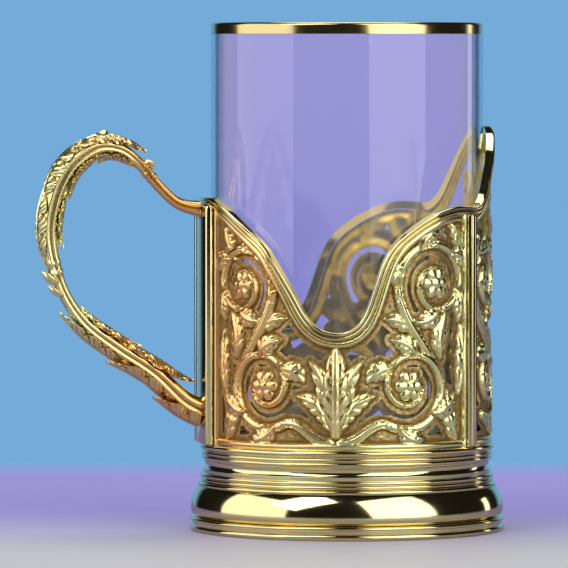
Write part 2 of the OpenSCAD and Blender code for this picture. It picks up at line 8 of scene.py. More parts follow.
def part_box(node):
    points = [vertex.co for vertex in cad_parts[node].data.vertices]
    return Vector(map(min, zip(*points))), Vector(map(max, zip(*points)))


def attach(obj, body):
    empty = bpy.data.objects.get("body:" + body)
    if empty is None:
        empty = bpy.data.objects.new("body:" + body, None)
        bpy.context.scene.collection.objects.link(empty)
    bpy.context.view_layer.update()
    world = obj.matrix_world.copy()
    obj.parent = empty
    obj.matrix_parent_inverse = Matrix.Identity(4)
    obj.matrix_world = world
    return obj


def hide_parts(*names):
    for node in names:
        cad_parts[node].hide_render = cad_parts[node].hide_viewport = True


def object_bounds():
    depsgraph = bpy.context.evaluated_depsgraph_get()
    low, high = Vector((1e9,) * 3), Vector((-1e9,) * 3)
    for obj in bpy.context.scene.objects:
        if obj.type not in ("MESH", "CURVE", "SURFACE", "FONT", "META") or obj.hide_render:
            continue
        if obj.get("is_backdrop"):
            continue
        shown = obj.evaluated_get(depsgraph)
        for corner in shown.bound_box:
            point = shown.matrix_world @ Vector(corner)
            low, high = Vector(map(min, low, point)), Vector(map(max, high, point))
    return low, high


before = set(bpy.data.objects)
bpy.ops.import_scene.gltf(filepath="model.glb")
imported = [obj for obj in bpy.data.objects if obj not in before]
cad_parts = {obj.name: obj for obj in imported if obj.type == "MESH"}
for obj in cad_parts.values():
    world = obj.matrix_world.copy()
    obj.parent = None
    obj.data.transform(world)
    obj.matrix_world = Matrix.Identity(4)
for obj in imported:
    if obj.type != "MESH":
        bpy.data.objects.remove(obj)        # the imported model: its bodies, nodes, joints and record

bl_info = {
    "name": "Tea glass holder",
    "version": (1, 0, 0),
    "blender": (4, 5, 0),
    "location": "View3D > Sidebar > Tea Glass",
    "description": "Dresses the packed frame of a cast and gilt tea glass holder with its glass",
    "category": "Add Mesh",
}

# Metres. +Z is up, the glass stands on the Z axis and the handle points to -X.
# A place on the sleeve's wall is an arc length s, from the middle of the handle, and a height z.

MM = 0.001
HOLDER = "holder"
GLASS = "glass"
CASTING_CREASE = 50     # degrees past which an edge of the castings stays sharp
TURNS = 256             # points round a turned piece

# Sizes that the frame gives
GLASS_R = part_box("tea_glass")[1].x
GLASS_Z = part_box("tea_glass")[0].z
GLASS_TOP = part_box("gilt_line")[1].z
FOOT_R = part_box("foot_ring")[1].x
RING_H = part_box("foot_ring")[1].z
FOOT_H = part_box("foot")[1].z
SLEEVE_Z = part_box("collar")[1].z
FLOOR_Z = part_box("floor_disc")[1].z
FLOOR_T = FLOOR_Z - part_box("floor_disc")[0].z
PLATE_R = -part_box("handle_plate")[0].x


def length(name, millimetres, description):
    """A property for one length, given in millimetres and kept in metres."""
    return bpy.props.FloatProperty(
        name=name, description=description, default=millimetres * MM, min=0, precision=5, unit="LENGTH"
    )


def colour(name, rgb, description):
    """A property for one colour, given as sRGB from 0 to 255 and kept linear."""
    share = np.array(rgb) / 255
    linear = np.where(share <= 0.04045, share / 12.92, ((share + 0.055) / 1.055) ** 2.4)
    return bpy.props.FloatVectorProperty(
        name=name, description=description, default=(*linear.tolist(), 1), size=4, min=0, max=1,
        subtype="COLOR"
    )


class TeaGlassSizes(bpy.types.PropertyGroup):
    """Sizes of the pieces that the frame's boxes don't give."""

    glass_gap: length("Glass gap", 0.6, "Clearance all round between the glass and the sleeve")
    casting_t: length("Casting", 1.9, "Thickness of the openwork casting, relief included")
    sleeve_h: length("Sleeve height", 77.5, "Height of the sleeve from the collar to the tip of its crest")
    rim_w: length("Rim width", 2, "Width of the bead along the wavy rim")
    rim_t: length("Rim depth", 2.1, "Depth of the rim bead from its back to its ridges")
    border_w: length("Border", 1.7, "Width of the plain borders of the panels")
    vine_w: length("Vine", 1.35, "Half width of the vine where it leaves the foot of a panel")
    leaf_w: length("Leaf", 2.5, "Half width of an ordinary leaf")
    ground_w: length("Ground", 1.45, "How far the pierced ground reaches past the ornament")
    pitch: length("Relief pitch", 0.28, "Distance between the points of the relief")
    strip_w: length("Strip width", 3.4, "Width of the cover strips over the seams")
    strip_t: length("Strip thickness", 1, "Thickness of the cover strips")
    solder: length("Solder", 0.08, "Gap that solder fills between brazed pieces")
    collar_bead: length("Collar bead", 0.8, "Radius of the large bead at the top of the collar")
    reed_r: length("Reed", 0.55, "Radius of the small reeds and beads of the collar")
    belly_r: length("Belly", 4.2, "Radius of the rounded belly of the foot")
    foot_t: length("Foot sheet", 1, "Thickness of the spun foot")
    ring_w: length("Foot ring", 3.6, "Width of the flat underside of the foot's ring")
    hole_d: length("Hole", 5.2, "Diameter of the hole for the clamping screw")
    stem_t: length("Stem thickness", 3.2, "Thickness of the handle's slender parts, seen from the side")
    stem_depth: length("Stem depth", 5.4, "Depth of the handle, seen from behind")
    handle_reach: length("Handle reach", 40.5, "How far the handle stands out from the sleeve")
    handle_h: length("Handle height", 66, "Height of the handle from its lower seat to its crown")
    handle_z: length("Handle seat", 8, "Height of the handle's lower seat above the collar")
    plate_w: length("Plate width", 15, "Width of the plate that the handle is brazed to")
    plate_t: length("Plate thickness", 1.5, "Thickness of that plate")
    glass_wall: length("Glass wall", 1.5, "Wall of the tea glass")
    glass_floor: length("Glass bottom", 5, "Thickness of the glass at its bottom")
    glass_corner: length("Glass corner", 2.4, "Outer corner radius at the bottom of the glass")
    glass_dish: length("Glass dish", 0.6, "Depth of the hollow under the glass")
    gilt_h: length("Gilt height", 2, "Height of the gilt line at the lip")
    gilt_t: length("Gilt thickness", 0.15, "Thickness of the gilt line")


class TeaGlassColours(bpy.types.PropertyGroup):
    """Colours of the finishes and of the stage."""

    gilt: colour("Gilt", (246, 232, 178), "Polished gilt brass")
    cast: colour("Cast brass", (249, 232, 175), "Gilt brass as cast, on the panels and the handle")
    # Painted shade with old gilt: the colour that the cast finish turns to in its recesses; the inner brass
    # takes it in chance patches
    recess: colour("Recess", (150, 114, 62), "Old gilt in the recesses of the relief")
    # Painted shade with old gilt: the colour that the polished pieces turn to in their grooves
    groove_shade_and_tarnish: colour("Tarnish", (150, 134, 92), "Old gilt in the grooves of the polished pieces")
    inside: colour("Inside", (242, 216, 92), "Brass inside the holder")
    steel: colour("Steel", (176, 176, 172), "Plated steel of the screw, washer and nut")
    line: colour("Gold line", (226, 206, 150), "Gold fired on at the lip of the glass")
    glass: colour("Glass", (253, 250, 255), "Clear glass")
    table: colour("Table", (186, 184, 187), "Plain pale floor, on the camera's side")
    table_far: colour("Far table", (151, 139, 206), "The same floor towards the backdrop")
    backdrop: colour("Backdrop", (116, 171, 217), "Plain backdrop all round")
    through: colour("Through glass", (141, 146, 222), "The same backdrop where it is seen through glass")


# Meshes from arrays

def unit(v):
    """Vectors along the last axis, scaled to length 1."""
    return v / np.maximum(np.linalg.norm(v, axis=-1, keepdims=True), 1e-12)


def compass(degrees):
    """The unit vector (cos a, sin a) of each angle."""
    a = np.radians(degrees)
    return np.stack([np.cos(a), np.sin(a)], axis=-1)


def left_of(v):
    """Each flat vector (x, y) turned a quarter to the left, (-y, x)."""
    return np.stack([-v[..., 1], v[..., 0]], axis=-1)


def quads(rows, columns, wrap_rows, wrap_columns):
    """Corners of the quads of a grid of rows by columns points: (i, j), (i, j+1), (i+1, j+1), (i+1, j)."""
    i, j = np.meshgrid(
        np.arange(rows if wrap_rows else rows - 1), np.arange(columns if wrap_columns else columns - 1),
        indexing="ij"
    )
    i, j, k, m = i.ravel(), j.ravel(), (i.ravel() + 1) % rows, (j.ravel() + 1) % columns
    return np.stack([i * columns + j, i * columns + m, k * columns + m, k * columns + j], axis=1)


def skin(rings, closed=False):
    """A surface through rings of points, an array (rings, points, 3). An open one gets a flat cap at each
    end."""
    n, m = rings.shape[:2]
    faces = [quads(n, m, closed, True)]
    if not closed:
        faces += [np.arange(m)[::-1][None], ((n - 1) * m + np.arange(m))[None]]
    return rings.reshape(-1, 3), faces


def turned(profile, turns=TURNS):
    """A profile of radii and heights turned about Z: x = r cos a, y = r sin a.

    A profile that starts and ends on the axis gets a point there and a fan of triangles round it. Any other
    is a closed loop.
    """
    a = np.arange(turns) * 2 * math.pi / turns
    on_axis = profile[0, 0] < 1e-9
    body = profile[1:-1] if on_axis else profile
    r, z = body[:, 0], body[:, 1]
    rings = np.stack(
        [r * np.cos(a)[:, None], r * np.sin(a)[:, None], np.broadcast_to(z, (turns, len(z)))], axis=-1
    )
    points = rings.reshape(-1, 3)
    faces = [quads(turns, len(body), True, not on_axis)]
    if on_axis:
        first, last = len(points), len(points) + 1
        points = np.vstack([points, [0, 0, profile[0, 1]], [0, 0, profile[-1, 1]]])
        start = np.arange(turns) * len(body)
        after = np.roll(start, -1)
        end = start + len(body) - 1
        faces.append(np.stack([np.full(turns, first), start, after], axis=1))
        faces.append(np.stack([np.full(turns, last), np.roll(end, -1), end], axis=1))
    return points, faces


def joined(shapes):
    """Several surfaces as one: their points and faces, one after another."""
    points, faces, count = [], [], 0
    for p, f in shapes:
        p, f = facing_out(p, f)
        points.append(p)
        faces += [rows + count for rows in f]
        count += len(p)
    return np.vstack(points), faces


def facing_out(points, faces):
    """The surface with its faces outwards: they are turned over where the volume, the sum of a.(b x c) / 6
    over its triangles, comes out negative."""
    volume = 0
    for f in faces:
        a = points[f[:, 0]]
        for k in range(1, f.shape[1] - 1):
            volume += (a * np.cross(points[f[:, k]], points[f[:, k + 1]])).sum()
    return points, faces if volume > 0 else [f[:, ::-1] for f in faces]


LEVEL_SHARE = .62       # the relief attribute of a level place


def standing_out(points, faces, passes=8, scale=.10 * MM):
    """How far each point stands out from its surroundings, from 0 to 1, with LEVEL_SHARE where it is level.

    The mean of a point's neighbours, taken several times over, is set against the point along its normal,
    which is the sum of its faces' normals.
    """
    ends = np.concatenate([
        np.stack([f[:, k], np.roll(f, -1, axis=1)[:, k]], axis=1) for f in faces if f.shape[1] < 5
        for k in range(f.shape[1])
    ])
    n = len(points)
    both = np.concatenate([ends, ends[:, ::-1]])
    count = np.maximum(np.bincount(both[:, 0], minlength=n), 1)[:, None]
    normal = np.zeros_like(points)
    for f in faces:
        square = np.cross(points[f[:, 2]] - points[f[:, 0]], points[f[:, -1]] - points[f[:, 1]])
        for k in range(min(f.shape[1], 4)):
            for axis in range(3):
                normal[:, axis] += np.bincount(f[:, k], square[:, axis], n)
    mean = points
    for _ in range(passes):
        near = np.stack([np.bincount(both[:, 0], mean[both[:, 1], k], n) for k in range(3)], axis=1)
        mean = (mean + near / count) / 2
    return np.clip(LEVEL_SHARE + ((points - mean) * unit(normal)).sum(1) / scale, 0, 1)


def piece(name, shape, body, material, replaced, crease=35, relief=None, lining=None):
    """Makes an object of points and faces, gives it its finish and lets it ride on its body.

    relief is one value a point for the relief attribute, worked out from the shape where none is given. The
    second block of faces is the inner side, and takes the lining where there is one.
    """
    points, faces = facing_out(*shape)
    mesh = bpy.data.meshes.new(name)
    sides = np.concatenate([np.full(len(f), f.shape[1]) for f in faces])
    corners = np.concatenate([f.ravel() for f in faces])
    mesh.vertices.add(len(points))
    mesh.vertices.foreach_set("co", points.astype(np.float32).ravel())
    mesh.loops.add(len(corners))
    mesh.loops.foreach_set("vertex_index", corners.astype(np.int32))
    mesh.polygons.add(len(sides))
    mesh.polygons.foreach_set("loop_start", np.concatenate([[0], np.cumsum(sides)[:-1]]).astype(np.int32))
    mesh.update(calc_edges=True)
    mesh.validate()
    mesh.shade_smooth()
    mesh.set_sharp_from_angle(angle=math.radians(crease))
    layer = mesh.attributes.new("relief", "FLOAT", "POINT")
    relief = standing_out(points, faces) if relief is None else relief
    layer.data.foreach_set("value", relief.astype(np.float32))
    mesh.materials.append(material)
    if lining:
        mesh.materials.append(lining)
        block = np.repeat(np.arange(len(faces)), [len(f) for f in faces])
        mesh.polygons.foreach_set("material_index", (block == 1).astype(np.int32))
    made = bpy.data.objects.new(name, mesh)
    bpy.context.scene.collection.objects.link(made)
    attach(made, body)
    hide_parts(*replaced)


def dress(node, material):
    """Gives a CAD node that stays in view its material."""
    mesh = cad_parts[node].data
    mesh.materials.clear()
    mesh.materials.append(material)


# The sleeve's wall

# Half of the wavy rim, from the handle to the crest: angles, with shares of the sleeve's height
RIM_SHARES = np.array([
    [0, .775], [10, .775], [23, .738], [34, .687], [44, .630], [51, .552], [57, .478], [62, .405],
    [68, .370], [75, .362], [81, .380], [85.5, .432], [88.5, .520], [92, .600], [98, .657], [107, .705],
    [116, .737], [125, .752], [134, .750], [141, .746], [147, .782], [153, .850], [162, .930],
    [171, .978], [180, 1]
])
RIM_BLUR = 5            # degrees over which the rim's corners are rounded
SEAM_ANGLE = 134.5      # where the seams beside the crest are
SHEET_SHARE = 1.449     # half the girth, as a share of the sleeve's height, on the sheet of the vine


class Sleeve:
    """The sleeve's wall: places on it, its wavy rim and the sheet that the vine is drawn on."""

    def __init__(self, size):
        self.size = size
        self.inner = GLASS_R + size.glass_gap
        self.outer = self.inner + size.casting_t
        self.half_girth = math.pi * self.outer
        step = 0.25
        self.angles = np.arange(0, 360, step)
        share = np.interp(180 - abs(180 - self.angles), RIM_SHARES[:, 0], RIM_SHARES[:, 1])
        reach = int(RIM_BLUR / step)
        weight = np.hanning(2 * reach + 3)[1:-1]
        around = np.concatenate([share[-reach:], share, share[:reach]])
        self.rim = SLEEVE_Z + size.sleeve_h * np.convolve(around, weight / weight.sum(), "valid")

    def angle(self, s):
        """The angle from the handle of an arc length."""
        return s / self.half_girth * 180

    def arc(self, angle):
        """The arc length at an angle from the handle."""
        return angle / 180 * self.half_girth

    def rim_z(self, s):
        """Height of the rim above an arc length: the table of shares, smoothed by a bell of weights."""
        return np.interp(self.angle(s), self.angles, self.rim, period=360)

    def place(self, s, z, r):
        """The point (-r cos a, -r sin a, z) on the wall, where a is the angle of arc length s."""
        a = np.radians(self.angle(s))
        return np.stack(np.broadcast_arrays(-r * np.cos(a), -r * np.sin(a), z), axis=-1)

    def on_wall(self, p):
        """Sheet to wall: s = x / 1.449 of half the girth, z = y of the sleeve's height above the collar."""
        return np.stack([
            p[..., 0] / SHEET_SHARE * self.half_girth, SLEEVE_Z + p[..., 1] * self.size.sleeve_h
        ], axis=-1)

    def on_sheet(self, s, z):
        """Wall to sheet, the way back."""
        return np.array([s / self.half_girth * SHEET_SHARE, (z - SLEEVE_Z) / self.size.sleeve_h])

    def below_rim(self, s, z, reach=7 * MM, steps=51):
        """How far a place lies below the rim, which is the least of its distances from the rim's points to
        both sides of it. It is less than 0 above the rim."""
        far = np.full(np.shape(z), np.inf)
        for offset in np.linspace(-reach, reach, steps):
            far = np.minimum(far, np.hypot(offset, z - self.rim_z(s + offset)))
        return np.where(z < self.rim_z(s), far, -far)


# Relief

GROUND = 0.30           # height of the ground, as a share of the casting's thickness
MATTING = .022          # how far the ground's chance heights go, as a share of it too
MATTING_SEED = 11
GROOVE = .14            # depth of the chased groove round a form, as a share of it too
EDGE_SHIFT = .68        # how far a point may move onto the outline, in pitches
BACK_SHARE = .42        # how much of the softened face the back follows
BACK_PASSES = 14        # how often the face is softened for the back
SHADE_PASSES = 30        # and for the painted shade, from how far what stands out rises above its surroundings
BACK_FINISH = .8        # the relief attribute on the back


def nearest(points, line):
    """For each point, where a line comes nearest: the share of its length and the distance.

    On a stretch from a to b the nearest place is a + t (b - a), where t = (p - a).(b - a) / |b - a|^2 is
    held between 0 and 1. The stretch with the least distance counts.
    """
    ab = np.diff(line, axis=0)
    rel = points[..., None, :] - line[:-1]
    t = np.clip((rel * ab).sum(-1) / (ab ** 2).sum(-1), 0, 1)
    far = np.linalg.norm(rel - t[..., None] * ab, axis=-1)
    k = far.argmin(-1)[..., None]
    share = (k + np.take_along_axis(t, k, -1)) / len(ab)
    return share[..., 0], np.take_along_axis(far, k, -1)[..., 0]


def bell(x, width):
    """A bell curve, exp(-(x / width)^2)."""
    return np.exp(-(x / width) ** 2)


def leaf_half(q):
    """Half width of a leaf along its length, as a share: sin(180 (0.92 q + 0.07)) ^ 0.75."""
    return np.sin(math.pi * (.92 * q + .07)) ** .75


def leaf_rise(q):
    """Height of a leaf along its length, as a share: 0.45 + 0.55 sin(180 (0.8 q + 0.14))."""
    return .45 + .55 * np.sin(math.pi * (.8 * q + .14))


class Relief:
    """A part of the wall as fields on a grid of arc length and height.

    cover is how far a point lies inside the ornament's outline, in metres, and level is the height of the
    face there, as a share of the casting's thickness.
    """

    def __init__(self, s0, s1, z1, pitch):
        self.pitch = pitch
        self.s = np.arange(s0 - 1.5 * pitch, s1 + 2.5 * pitch, pitch)
        self.z = np.arange(SLEEVE_Z - 1.5 * pitch, z1 + 2.5 * pitch, pitch)
        self.grid = np.stack(np.meshgrid(self.s, self.z, indexing="ij"), axis=-1)
        self.cover = np.full(self.grid.shape[:2], -1.0)
        self.level = np.full(self.grid.shape[:2], GROUND)

    def around(self, points, reach):
        """The part of the grid within reach of some points."""
        low, high = points.min(0) - reach, points.max(0) + reach
        i0, i1 = np.searchsorted(self.s, [low[0], high[0]])
        j0, j1 = np.searchsorted(self.z, [low[1], high[1]])
        return slice(i0, i1), slice(j0, j1)

    def lay(self, window, cover, level):
        """Lays a form over what is there. It comes in over one pitch at its outline, where cover is 0, and
        a fine chased groove, a bell about the outline, runs round it."""
        chased = GROOVE * bell(np.minimum(cover, 0), 1.3 * self.pitch) * (cover < self.pitch)
        under = np.maximum(self.level[window] - chased, GROUND * .8)
        share = np.clip(cover / self.pitch + .5, 0, 1)
        self.level[window] = under * (1 - share) + level * share
        self.cover[window] = np.maximum(self.cover[window], cover)

    def vine(self, line, half0, half1):
        """A rounded stem with a furrow down each side: 0.58 + 0.38 sqrt(1 - 0.92 x^2), less a bell about
        x = 0.48 of its half width."""
        window = self.around(line, max(half0, half1) + 3 * self.pitch)
        q, far = nearest(self.grid[window], line)
        half = half0 + (half1 - half0) * q
        x = np.minimum(far / half, 1)
        self.lay(window, half - far, .58 + .38 * np.sqrt(1 - .92 * x ** 2) - .13 * bell(x - .48, .16))

    def leaf(self, line, half, lobes=4, top=1):
        """A lobed leaf with a midrib and side veins.

        Its edge lies at half times leaf_half, drawn in between its n lobes, where
        |sin(180 (n q + 0.5))| is 0. A side vein runs from each such notch back to the midrib.
        """
        window = self.around(line, half + 3 * self.pitch)
        q, far = nearest(self.grid[window], line)
        notch = np.abs(np.sin(math.pi * (lobes * q + .5)))
        edge = half * leaf_half(q) * (.76 + .24 * np.sqrt(notch))
        x = np.minimum(far / edge, 1)
        vein = np.abs(np.sin(math.pi * (lobes * (q + .15 * (1 - x)) + .5)))
        level = leaf_rise(q) * (1 - .34 * x ** 2) - .13 * bell(vein, .35) * np.minimum(2 * x, 1)
        level += .07 * bell(far, .13 * half) - .10 * bell(far - .27 * half, .12 * half)
        self.lay(window, edge - far, top * np.clip(level, GROUND, .97))

    def rosette(self, centre, radius, petals=6):
        """A flower: its edge swells at each petal, the petals are dished and the button is a half ball."""
        window = self.around(centre[None], radius + 3 * self.pitch)
        rel = self.grid[window] - centre
        far = np.linalg.norm(rel, axis=-1)
        petal = np.abs(np.cos(petals / 2 * np.arctan2(rel[..., 1], rel[..., 0])))
        edge = radius * (.70 + .30 * petal ** .6)
        x = np.minimum(far / edge, 1)
        level = .46 + .46 * np.sin(math.pi * (.15 + .7 * x)) * (.5 + .5 * petal ** .5)
        button = np.minimum(far / (.32 * radius), 1)
        level = np.where(button < 1, .62 + .36 * np.sqrt(1 - button ** 2), level - .12 * bell(button - 1, .5))
        self.lay(window, edge - far, level)

    def border(self, inside, width, crown=2):
        """A fillet along an edge, where inside is the distance from that edge. Its height is
        0.5 + 0.42 sqrt(1 - |x|^crown), at a share x of its half width."""
        x = np.clip(inside / width * 2 - 1, -1, 1)
        self.lay((slice(None), slice(None)), width - inside, .50 + .42 * np.sqrt(1 - np.abs(x) ** crown))


def soften(field, passes):
    """Each value becomes the mean of its neighbours along both sides, several times over."""
    for _ in range(passes):
        edge = np.pad(field, 1, mode="edge")
        field = (edge[:-2, 1:-1] + edge[2:, 1:-1] + edge[1:-1, :-2] + edge[1:-1, 2:] + 2 * field) / 6
    return field


def cast_panel(sleeve, relief, inside):
    """The relief as a closed shell, cut where inside is below 0, and its relief attribute.

    The face lies at the level's radius, the ground is matted by chance heights, and the back follows the
    face faintly. Points of the cut edge move onto the outline along the slope of the field:
    p - f grad f / |grad f|^2, by EDGE_SHIFT of a pitch at most. The attribute, which sets the painted shade
    of the ground and hollows, rises with the level and with how far a place stands out from the level
    softened over the passes set for that shade.
    """
    pitch = relief.pitch
    bare_ground = relief.cover < -.5 * pitch
    matted = np.random.default_rng(MATTING_SEED).standard_normal(relief.level.shape) * bare_ground
    relief.level = relief.level + MATTING * matted
    middle = inside[:-1, :-1] + inside[1:, :-1] + inside[:-1, 1:] + inside[1:, 1:]
    keep = middle > 0
    for _ in range(3):                      # cells that meet only at a corner get a third one beside them
        a, b, c, d = keep[:-1, :-1], keep[1:, :-1], keep[:-1, 1:], keep[1:, 1:]
        keep[1:, :-1] |= a & d & ~b & ~c
        keep[:-1, :-1] |= b & c & ~a & ~d
    around = np.pad(keep, 1)
    corners = np.stack([around[:-1, :-1], around[1:, :-1], around[:-1, 1:], around[1:, 1:]])
    used, edge = corners.any(0), corners.any(0) & ~corners.all(0)
    slope = np.stack(np.gradient(inside, pitch), axis=-1)
    shift = -inside[..., None] * slope / np.maximum((slope ** 2).sum(-1, keepdims=True), .05)
    far = np.linalg.norm(shift, axis=-1, keepdims=True)
    shift *= np.minimum(1, EDGE_SHIFT * pitch / np.maximum(far, 1e-12))
    spots = relief.grid + shift * edge[..., None]

    smooth = soften(relief.level, BACK_PASSES)
    face_r = sleeve.inner + sleeve.size.casting_t * relief.level
    back_r = sleeve.inner + sleeve.size.casting_t * BACK_SHARE * np.maximum(smooth - GROUND, 0)
    s, z = spots[used].T
    points = np.vstack([sleeve.place(s, z, face_r[used]), sleeve.place(s, z, back_r[used])])
    count = used.sum()
    number = np.zeros(used.shape, int)
    number[used] = np.arange(count)
    a, b, c, d = number[:-1, :-1], number[1:, :-1], number[1:, 1:], number[:-1, 1:]
    face = np.stack([a[keep], b[keep], c[keep], d[keep]], axis=1)
    faces = [face, face[:, ::-1] + count]
    below, above = around[1:-1, :-2], around[1:-1, 2:]
    before, after = around[:-2, 1:-1], around[2:, 1:-1]
    for bare, p, q in ((~below, a, b), (~after, b, c), (~above, c, d), (~before, d, a)):
        cut = keep & bare
        faces.append(np.stack([q[cut], p[cut], p[cut] + count, q[cut] + count], axis=1))
    # The relief attribute: low on the ground and in the hollows, where the finish paints shade, and high
    # where forms rise
    raised = np.clip(.55 + 1.6 * (relief.level - soften(relief.level, SHADE_PASSES)), 0, 1)
    painted_light = np.clip(.55 * raised + .65 * (relief.level - GROUND) / (1 - GROUND) - .12, 0, 1)
    return points, faces, np.concatenate([painted_light[used], np.full(count, BACK_FINISH)])


# The vine on the sheet: scrolls as shares of half the girth and of the sleeve's height, a radius as a share
# of that height, the angle where the vine comes in, and the hand in which it winds
SCROLL_TURNS = 1.3
SHRINK_SHARE = .7
FRONT_SCROLL_SHARES = [
    [.236, .197, .138, -62, -1], [.171, .507, .130, -15, 1],
    [.574, .197, .140, 242, 1], [.641, .515, .142, 195, -1]
]
CREST_SCROLL_SHARES = [[.864, .194, .114, -110, 1], [.850, .515, .112, 165, -1]]
LOW_LEAF_SHARES = [.03, .16, .42, .55]
HIGH_LEAF_SHARES = [.03, .17, .31, .45, .6]
CREST_LEAF_SHARES = [.04, .2, .45]
BRANCH_SHARE = .316
CREST_BRANCH_SHARE = .33
# Fans: length as a share of the sleeve's height, heading, bend, and width as a share of a leaf's
CENTRE_FAN_SHARES = [
    [.19, 136, 70, 1], [.19, 44, -70, 1], [.25, 110, 40, 1.1], [.25, 70, -40, 1.1], [.285, 90, 0, 1.3]
]
CREST_FAN_SHARES = [
    [.27, 124, 60, 1.15], [.27, 56, -60, 1.15], [.34, 105, 32, 1.3], [.34, 75, -32, 1.3], [.39, 90, 0, 1.5]
]
LOW_FAN_SHARES = [
    [.19, 134, 74, 1], [.19, 46, -74, 1], [.27, 110, 44, 1.15], [.27, 70, -44, 1.15], [.33, 90, 0, 1.35]
]
# Single leaves: place, length, heading, bend, width
FRONT_LEAF_SHARES = [
    [.115, .02, .17, 75, 30, 1], [.112, .17, .20, 92, -20, .9], [.112, .68, .12, -60, 20, .85],
    [.705, .02, .17, 105, -30, 1], [.712, .17, .22, 88, 20, .9], [.685, .70, .12, -60, -20, .85],
    [.150, .285, .15, 100, 55, 1], [.655, .285, .15, 80, -55, 1],
    [.205, .36, .14, 20, -40, .95], [.600, .36, .14, 160, 40, .95]
]


class Scroll:
    """A spiral of the vine: at share t its angle is a0 + hand 468 t and its radius r (1 - 0.7 t)."""

    def __init__(self, row):
        self.centre = np.array([row[0] * SHEET_SHARE, row[1]])
        self.radius, self.start, self.hand = row[2:]

    def angle(self, t):
        """The angle about the centre at share t."""
        return self.start + self.hand * SCROLL_TURNS * 360 * t

    def reach(self, t):
        """The distance from the centre at share t."""
        return self.radius * (1 - SHRINK_SHARE * t)

    def at(self, t):
        """The place at share t, centre plus reach times (cos, sin) of the angle."""
        return self.centre + compass(self.angle(t)) * np.asarray(self.reach(t))[..., None]

    def heading(self, t):
        """The direction in which the vine goes there, square to the radius."""
        return compass(self.angle(t) + self.hand * 90)

    def leaf_line(self, t, grow, sweep, q):
        """A leaf's line that leaves the scroll at share t: the angle goes on, and the radius grows by
        grow q^0.85 of the scroll's."""
        reach = self.reach(t) + self.radius * grow * q ** .85
        return self.centre + compass(self.angle(t) + self.hand * sweep * q) * reach[:, None]


def free_line(start, long, angle, bend, q):
    """A leaf's line that bends evenly: the sum of steps whose heading goes from angle - bend / 2 to
    angle + bend / 2."""
    steps = compass(angle + bend * ((q[:-1] + q[1:]) / 2 - .5)) * (long / (len(q) - 1))
    return start + np.vstack([[0, 0], np.cumsum(steps, axis=0)])


def stem_line(p, u, q, v, t):
    """A cubic from p to q that leaves along u and comes in along v, its handles 0.42 of the way long."""
    reach = np.linalg.norm(q - p) * .42
    t = t[:, None]
    k = 1 - t
    return k ** 3 * p + 3 * k * k * t * (p + u * reach) + 3 * k * t * t * (q - v * reach) + t ** 3 * q


class VineCarver:
    """Lays the vine on a relief. turned_over mirrors all that it lays about the crest."""

    def __init__(self, sleeve, relief, turned_over=False):
        self.sleeve, self.relief, self.turned_over = sleeve, relief, turned_over
        self.leaf_w, self.vine_w = sleeve.size.leaf_w, sleeve.size.vine_w
        self.steps = np.linspace(0, 1, 22)

    def wall(self, line):
        """A line of the sheet on the wall, mirrored about the crest where that is asked."""
        spots = self.sleeve.on_wall(np.asarray(line))
        if self.turned_over:
            spots = np.stack([2 * self.sleeve.half_girth - spots[..., 0], spots[..., 1]], axis=-1)
        return spots

    def stem(self, p, u, q, v, share0, share1):
        """A length of vine from p, leaving along u, to q, coming in along v."""
        line = self.wall(stem_line(np.asarray(p), np.asarray(u), np.asarray(q), np.asarray(v), self.steps))
        self.relief.vine(line, self.vine_w * share0, self.vine_w * share1)

    def scroll(self, scroll):
        """The vine along a scroll, getting thinner towards its middle."""
        line = self.wall(scroll.at(np.linspace(0, 1, 110)))
        self.relief.vine(line, self.vine_w * .86, self.vine_w * .46)

    def scroll_leaves(self, scroll, shares, grow, sweep):
        """Leaves that spring from a scroll at some shares of its length, every second one a little lower."""
        for k, t in enumerate(shares):
            line = self.wall(scroll.leaf_line(t, grow, sweep, self.steps))
            self.relief.leaf(line, self.leaf_w, top=1 - .05 * (k % 2))

    def rosette(self, scroll):
        """A flower in the middle of a scroll."""
        self.relief.rosette(self.wall(scroll.centre), scroll.radius * .36 * self.sleeve.size.sleeve_h)

    def fan(self, start, rows):
        """Leaves that spread from one place, a row of a table each."""
        for long, angle, bend, width in rows:
            line = self.wall(free_line(np.asarray(start), long, angle, bend, self.steps))
            self.relief.leaf(line, self.leaf_w * width, lobes=5)

    def pair(self, low, high, root, out, branch, leaves, grow, sweep):
        """A low scroll that springs from the foot of the panel and a high one that branches from it."""
        up = low.heading(branch)
        self.stem(root, out, low.at(0), low.heading(0), 1, .86)
        self.stem(low.at(branch), up, high.at(0), high.heading(0), .8, .86)
        self.scroll(low)
        self.scroll(high)
        for scroll, shares in zip((low, high), leaves):
            self.scroll_leaves(scroll, shares, grow, sweep)
            self.rosette(scroll)


